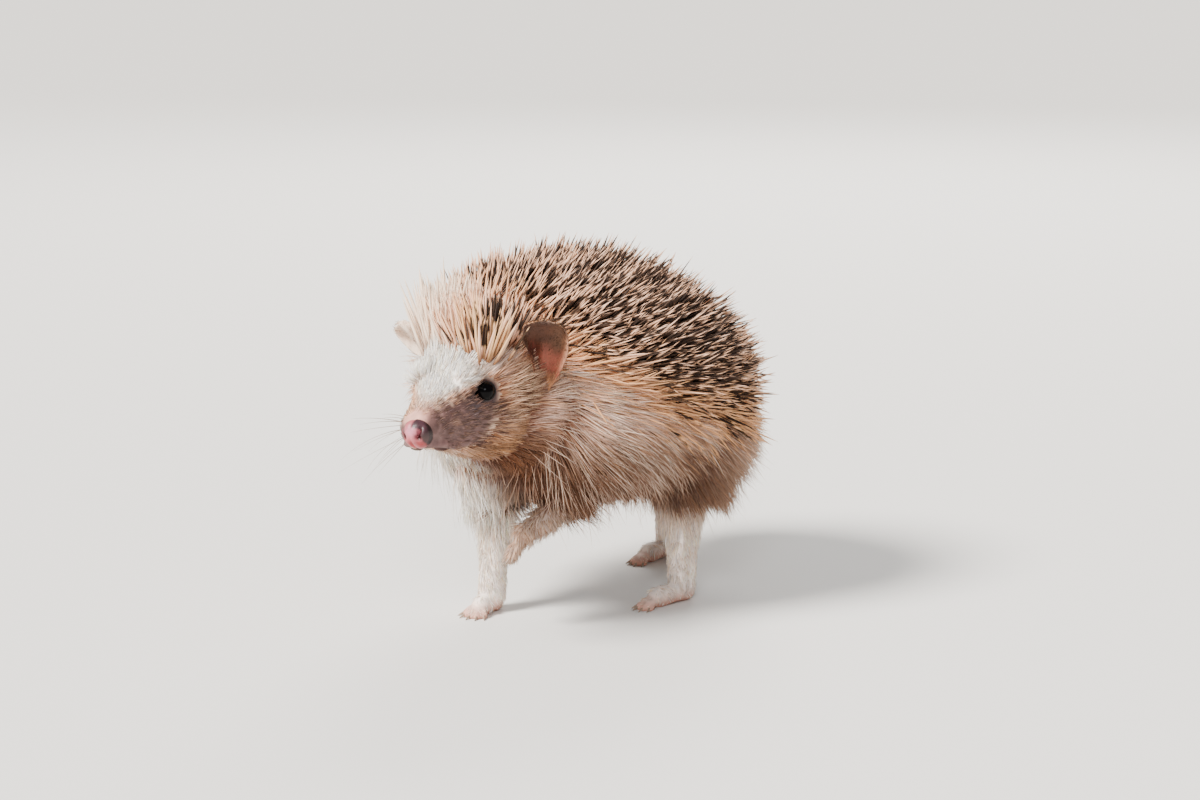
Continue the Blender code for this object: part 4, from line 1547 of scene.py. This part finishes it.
def grow_fur(names, which, sampler, material, rng, density, shape, colours=coat_colours, ways=lie):
    """Fur in locks over one region; shape gives length, stand in degrees, width and lock by place.

    which(points) says in which of the named pieces each strand goes.
    """
    roots = sampler.draw(density, rng)
    p, n = roots.points, roots.normals
    q = to_head(p)
    count = len(p)
    lengths, stand, widths, per_lock, strength, wander = shape(p, q)
    flow = turned(ways(p, n), n, 0.35 * cloudiness(p, 8, 5) + rng.normal(0, wander, count))
    tilt = np.radians(np.clip(stand + rng.normal(0, 6, count), 4, 80))
    first = flow * np.cos(tilt)[:, None] + n * np.sin(tilt)[:, None]
    droop = np.radians(np.clip(stand * 0.4, 2, 60))
    last = flow * np.cos(droop)[:, None] + n * np.sin(droop)[:, None]
    lengths = lengths * rng.normal(1, 0.15, count)
    tips = p + lengths[:, None] * (0.5 * first + 0.5 * last)
    pull, lock = pull_to_locks(roots, tips, per_lock, strength, rng)
    locks = rng.normal(1, 0.09, lock.max() + 1)[lock]
    extra = {
        "tint": np.clip(colours(p, q, rng) * locks[:, None], 0, 1),
        "band": np.zeros(count),
        "shift": np.zeros(count),
        "bend": pull + rng.normal(0, 0.04, (count, 3)) * lengths[:, None],
        "spin": rng.random(count) * 6,
    }
    start = Roots(p - n * 0.15, n)
    return planted(names, which(p), material, start, first, last, lengths, widths, HAIR_PROFILE, 3, extra)


def face_shape(p, q):
    """Short flat fur that lengthens towards the cheeks and lies over the crown's front edge."""
    forward, up = -q[:, 1], q[:, 2]
    lengths = 10.0 - 6.6 * ramp(forward, -1, 17) - 0.9 * ramp(forward, 18, 26)
    brink = near((forward - 11.5) / 2.2) * ramp(up, 0, 3)
    left = ramp(q[:, 0], 1, 4)
    lengths *= 1 + (0.35 - 0.65 * left) * brink
    grey = grey_zone(q)
    lengths *= 1 - 0.15 * grey
    # The brow's far side stands out against what is behind it.
    far_brow = ramp(-q[:, 0], 1, 4) * ramp(forward, 9, 13) * (1 - ramp(forward, 20, 25)) * ramp(up, -4, -1)
    lengths += 1.3 * far_brow
    stand = 13 - 4 * grey + 20 * far_brow + 16 * brink * (1 - left)
    widths = 0.085 + 0.035 * (1 - ramp(forward, 1, 18)) - 0.02 * grey
    return lengths, stand, widths, 7, 0.35, 0.11


def body_shape(p, q):
    """Long fur that hangs lower down the flanks, shorter on the chest, the belly and the tail."""
    low = 1 - ramp(p[:, 2], 36, 58)
    forward = -q[:, 1]
    ruff = ramp(forward, -14, 0)
    lengths = 13.5 + 1.5 * low - 3.0 * ruff
    chest = (1 - ramp(p[:, 1], -34, -24)) * (1 - ramp(p[:, 2], 50, 62))
    lengths -= 5.5 * chest
    elbow = ramp(p[:, 0], 8, 14) * (1 - ramp(np.abs(p[:, 1] + 16), 10, 16)) * (1 - ramp(p[:, 2], 42, 50))
    belly = (1 - ramp(p[:, 2], 33, 37)) * ramp(p[:, 1], -20, -12)
    lengths -= 6.0 * belly + 2.5 * elbow
    rump = ramp(p[:, 1], 32, 44)
    tail = ramp(p[:, 1], 51, 55) * (1 - ramp(p[:, 2], 43, 46))
    lengths = (lengths - 4.5 * rump) * (1 - 0.72 * tail)
    stand = 26 + 3 * low - 6 * ruff + 4 * rump - 8 * elbow - 10 * chest
    return lengths, stand, 0.125 - 0.01 * ruff, 16, 0.5, 0.18


def guard_density(p):
    """Sparse long pale hairs that lie over the flanks' fur."""
    q = to_head(p)
    behind = 1 - ramp(-q[:, 1], -6, 0)
    front = 1 - 0.6 * (1 - ramp(p[:, 1], -34, -20)) * (1 - ramp(p[:, 2], 52, 60))
    return 0.8 * ramp(p[:, 2], 36, 42) * behind * front * (1 - under_quills(p))


def guard_shape(p, q):
    """Longer than the fur that they lie over."""
    low = 1 - ramp(p[:, 2], 36, 58)
    rump = ramp(p[:, 1], 32, 44)
    tail = ramp(p[:, 1], 50, 53) * (1 - ramp(p[:, 2], 43, 47))
    lengths = (16.0 + 2.0 * low - 6.5 * rump) * (1 - 0.75 * tail)
    return lengths, 24 + 3 * low, 0.085 * np.ones(len(p)), 4, 0.35, 0.22


def guard_colours(p, q, rng):
    """Pale above, with painted shade in brown below, and white on the chest."""
    low = 1 - ramp(p[:, 2], 36, 60)
    colour = mix(rows(GUARD_PALE, len(p)), GUARD_LOW_SHADE, low)
    colour = mix(colour, WHITE_FUR, chest_region(p, 6, 13))
    return np.clip(colour * rng.normal(1, 0.1, (len(p), 1)), 0, 1)


def leg_shape(p, q):
    """Short on the feet and longer up the legs, less so on the folded one."""
    high = ramp(p[:, 2], 10, 38)
    low = ramp(p[:, 2], 0, 6)
    folded = (p[:, 0] > 5) * (p[:, 1] < -10) * (p[:, 2] > 15)
    lengths = (1.2 + 1.3 * low + 6.0 * high) * (1 - 0.45 * folded)
    return lengths, 15 + 6 * high, 0.085 + 0.02 * high, 8, 0.3, 0.14


def on_face(p):
    """1 on the face and 0 on the body, with a short blend between them."""
    return ramp(-to_head(p)[:, 1], 1.5, 2.5) * (p[:, 2] > 49)


def face_density(p):
    """The fur's density, on the face alone."""
    return fur_density(p) * on_face(p)


def body_density(p):
    """The fur's density, behind the face."""
    return fur_density(p) * (1 - on_face(p))


def leg_density(p):
    """Hairs all over a leg up to where the body's fur hangs over it, fewer on the toes."""
    return (1.5 + 1.7 * ramp(p[:, 2], 3, 8)) * (p[:, 2] < 36) * (p[:, 2] > 1.2)


def whole(p):
    """All strands belong to the one piece."""
    return np.zeros(len(p), int)


def face_half(p):
    """The left half of the face, then the right."""
    return (to_head(p)[:, 0] < 1.0).astype(int)


def body_quarter(p):
    """Left shoulder, left haunch, right shoulder, right haunch."""
    return 2 * (p[:, 0] < 0) + (p[:, 1] > 2)


def make_coat(skin_parts, ears, quill, fur, face_fur):
    """Quills, then the fur of the body and face, then that of the legs and ears."""
    rng = np.random.default_rng(7)
    body = Sampler(skin_parts[0])
    pieces = grow_quills(body, quill, rng)
    bristle_shape = even(13.5, 22, 0.15, 5, 0.25, 0.25)
    fringe_shape = even(8.5, 27, 0.085, 7, 0.4, 0.2)
    faces = ["fur_face_left", "fur_face_right"]
    quarters = ["fur_shoulder_left", "fur_haunch_left", "fur_shoulder_right", "fur_haunch_right"]
    for names, which, material, density, shape, colours in (
        (["bristles"], whole, quill, border_density, bristle_shape, border_colours),
        (faces, face_half, face_fur, face_density, face_shape, coat_colours),
        (quarters, body_quarter, fur, body_density, body_shape, coat_colours),
        (["guard_hairs"], whole, face_fur, guard_density, guard_shape, guard_colours),
        (["fur_ear_fringe"], whole, face_fur, fringe_density, fringe_shape, fringe_colours),
    ):
        pieces += grow_fur(names, which, body, material, rng, density, shape, colours)
    for foot, part in zip(FEET, skin_parts[1:]):
        pieces += grow_fur([f"fur_leg_{foot}"], whole, Sampler(part), face_fur, rng, leg_density, leg_shape)
    for side, ear in zip((-1, 1), ears):
        name = "fur_ear_left" if side > 0 else "fur_ear_right"
        shape, cover, ways = ear_shape(side), ear_density(side), ear_ways(side)
        pieces += grow_fur([name], whole, Sampler(ear), face_fur, rng, cover, shape, ear_colours, ways)
    return pieces


# --- Eyes, claws and whiskers ------------------------------------------------------------------
def make_eye(side, material):
    """A round eyeball, half hidden by the lids."""
    bm = bmesh.new()
    bmesh.ops.create_uvsphere(bm, u_segments=48, v_segments=32, radius=EYE_RADIUS)
    bmesh.ops.transform(bm, matrix=HEAD @ Matrix.Translation(eye_place(side)[0]), verts=bm.verts)
    return link("eye_ball_left" if side > 0 else "eye_ball_right", bm, material)


def horn(bm, root, way, length, width, hook, sides=8, rings=6):
    """A curved claw that tapers to a blunt point."""
    side = way.cross(Vector((0, 0, 1))).normalized()
    up = side.cross(way).normalized()
    loops = []
    for i in range(rings + 1):
        t = i / rings
        centre = root + way * length * t - up * hook * t * t
        r = width * (1 - t) ** 0.7 + 0.04
        ring = []
        for j in range(sides):
            angle = math.tau * j / sides
            point = centre + side * r * 0.75 * math.cos(angle) + up * r * math.sin(angle)
            ring.append(bm.verts.new(point))
        loops.append(ring)
    wrap_spike(bm, loops)


def make_claws(material):
    """A hooked claw on each toe, more hooked on the lifted foot."""
    bm = bmesh.new()
    for foot in FEET:
        for _, tip, way in toes_of(foot):
            flat = Vector((way.x, way.y, way.z * 0.3)).normalized()
            hook = 0.8 if foot == "forefoot_left" else 0.55
            horn(bm, tip + Vector((0, 0, 0.15)), flat, 2.4, 0.5, hook)
    for v in bm.verts:
        v.co.z = max(v.co.z, HAIR_CLEARANCE)
    return link("claws", bm, material)


def make_whiskers(material, rng):
    """Long bristles from both sides of the muzzle, the longest on the right."""
    bm = bmesh.new()
    turn = HEAD.to_3x3()
    for side in (-1, 1):
        for n in range(14 if side < 0 else 5):
            row, place = divmod(n, 4)
            forward = 26.5 - 2.2 * place
            up = -7.5 - 1.5 * row + rng.normal(0, 0.2)
            width = smoothed([(o.along, o.half_width) for o in SKULL], forward) * 0.92
            way = Vector((side * 0.95, -0.62 + 0.12 * place, 0.30 - 0.42 * row))
            if side > 0:
                forward, up, width = 25 - 1.5 * place, -12.5, 3.2
                way = Vector((0.3, 0.25 + 0.1 * place, -0.85))
            root = HEAD @ Vector((side * width, -forward, up))
            way = turn @ (way + Vector(rng.normal(0, 0.12, 3))).normalized()
            reach = (15 if side < 0 else 7) * (0.6 + 0.7 * rng.random())
            bristle(bm, root, way, reach, 0.11 if side < 0 else 0.03, rng)
    return link("whiskers", bm, material)


def bristle(bm, root, way, length, width, rng, sides=4, rings=9):
    """A whisker that bows back and down and thins to its tip."""
    bow = Vector(rng.normal(0, 0.10, 3)) + Vector((0, 0.12, -0.14))
    loops = []
    for i in range(rings + 1):
        t = i / rings
        centre = root + way * length * t + bow * length * t * t
        r = width * (1 - t) + 0.02
        angles = [math.tau * j / sides for j in range(sides)]
        ring = [centre + Vector((math.cos(a), math.sin(a) * 0.7, math.sin(a) * 0.7)) * r for a in angles]
        loops.append([bm.verts.new(point) for point in ring])
    wrap_spike(bm, loops)


# --- Floor, light and camera -------------------------------------------------------------------
FLOOR_SIZE = 30000


def make_floor():
    """A plain pale floor that runs far beyond the picture."""
    bm = bmesh.new()
    bmesh.ops.create_grid(bm, x_segments=1, y_segments=1, size=FLOOR_SIZE)
    material, _, shader = new_material("floor")
    shader.inputs["Base Color"].default_value = (*FLOOR_WHITE, 1)
    shader.inputs["Roughness"].default_value = 0.85
    floor = link("floor", bm, material)


def lamp(name, place, aim, size, power, colour):
    """A round soft lamp that shines from its place towards the aim."""
    data = bpy.data.lights.new(name, "AREA")
    data.shape = "DISK"
    data.size = size
    data.energy = power
    data.color = colour
    made = add_object(name, data)
    made.location = place
    point_along(made, Vector(aim) - Vector(place))


def light_studio():
    """Soft daylight from the viewer's left, a small fill that glints in the eyes, and a rim light."""
    # The key is far off, so that the floor is lit alike everywhere.
    sun = bpy.data.lights.new("key", "SUN")
    sun.angle = math.radians(19)
    sun.energy = 9.3
    sun.color = SUN_LIGHT
    point_along(add_object("key", sun), (0.25, 0.95, -0.95))
    middle = (0, 0, 0.05)
    lamp("fill", (0.69, -0.69, 0.70), middle, 0.36, 6, FILL_LIGHT)
    lamp("rim", (-0.7, 1.0, 0.9), middle, 0.7, 15, RIM_LIGHT)
    world = bpy.data.worlds.new("studio")
    bpy.context.scene.world = world
    world.use_nodes = True
    sky = world.node_tree.nodes["Background"]
    sky.inputs["Color"].default_value = (*SKY_LIGHT, 1)
    sky.inputs["Strength"].default_value = 0.36


def make_camera():
    """Looks at the animal from ahead of its left side, from a little above."""
    level = math.cos(VIEW_RISE)
    back = Vector((math.sin(VIEW_TURN) * level, -math.cos(VIEW_TURN) * level, math.sin(VIEW_RISE)))
    data = bpy.data.cameras.new("camera")
    data.lens = VIEW_LENS
    data.sensor_width = SENSOR_WIDTH
    data.clip_start = 0.02
    made = add_object("camera", data)
    # The animal stands a little left of the middle of the picture.
    aim = Vector((0, 0.0055, 0.055)) + Vector((0.0041, 0.0041, -0.001))
    made.location = aim + back * VIEW_DISTANCE
    point_along(made, -back)
    bpy.context.scene.camera = made


def slot_of(name):
    """A slot name for a piece of the coat."""
    if "ear" in name:
        return "ear_skin"
    if "leg" in name:
        return "leg_fur"
    return "face_fur" if "face" in name else "coat"


def main():
    """The studio first, then the skin and its coat, then the eyes, claws and whiskers."""
    make_camera()
    light_studio()
    make_floor()
    skin = skin_material()
    strand = strand_group()
    quill = strand_material("quill", strand, QUILL_SHADE, 0.5, (0.24, 0.74))
    fur = strand_material("fur", strand, FUR_SHADE, 0.75)
    face_fur = strand_material("face_fur", strand, FACE_SHADE, 0.6)
    parts = make_skin(skin)
    ears = [make_ear(side, skin) for side in (-1, 1)]
    coat = make_coat(parts, ears, quill, fur, face_fur)
    extras = [make_nose(skin)] + ears + [make_lids(side, skin) for side in (-1, 1)]
    flesh = [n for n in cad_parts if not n.startswith("eye_")]
    settle(join_all(parts + extras, "skin"), "face_fur", *flesh)
    for piece in coat:
        settle(piece, slot_of(piece.name))
    streaks = streak_group()
    eye = streaked_material("eye", streaks, EYE_BLACK, 0.5, 300, 0.12, specular=0.07)
    settle(make_eye(1, eye), "eye", "eye_left")
    settle(make_eye(-1, eye), "eye", "eye_right")
    claw = streaked_material("claw", streaks, CLAW_HORN, 0.6, 900, 0.35)
    settle(make_claws(claw), "leg_fur")
    whisker = streaked_material("whisker", streaks, WHISKER_HORN, 0.9, 500, 0.4)
    settle(make_whiskers(whisker, np.random.default_rng(3)), "face_fur")


main()
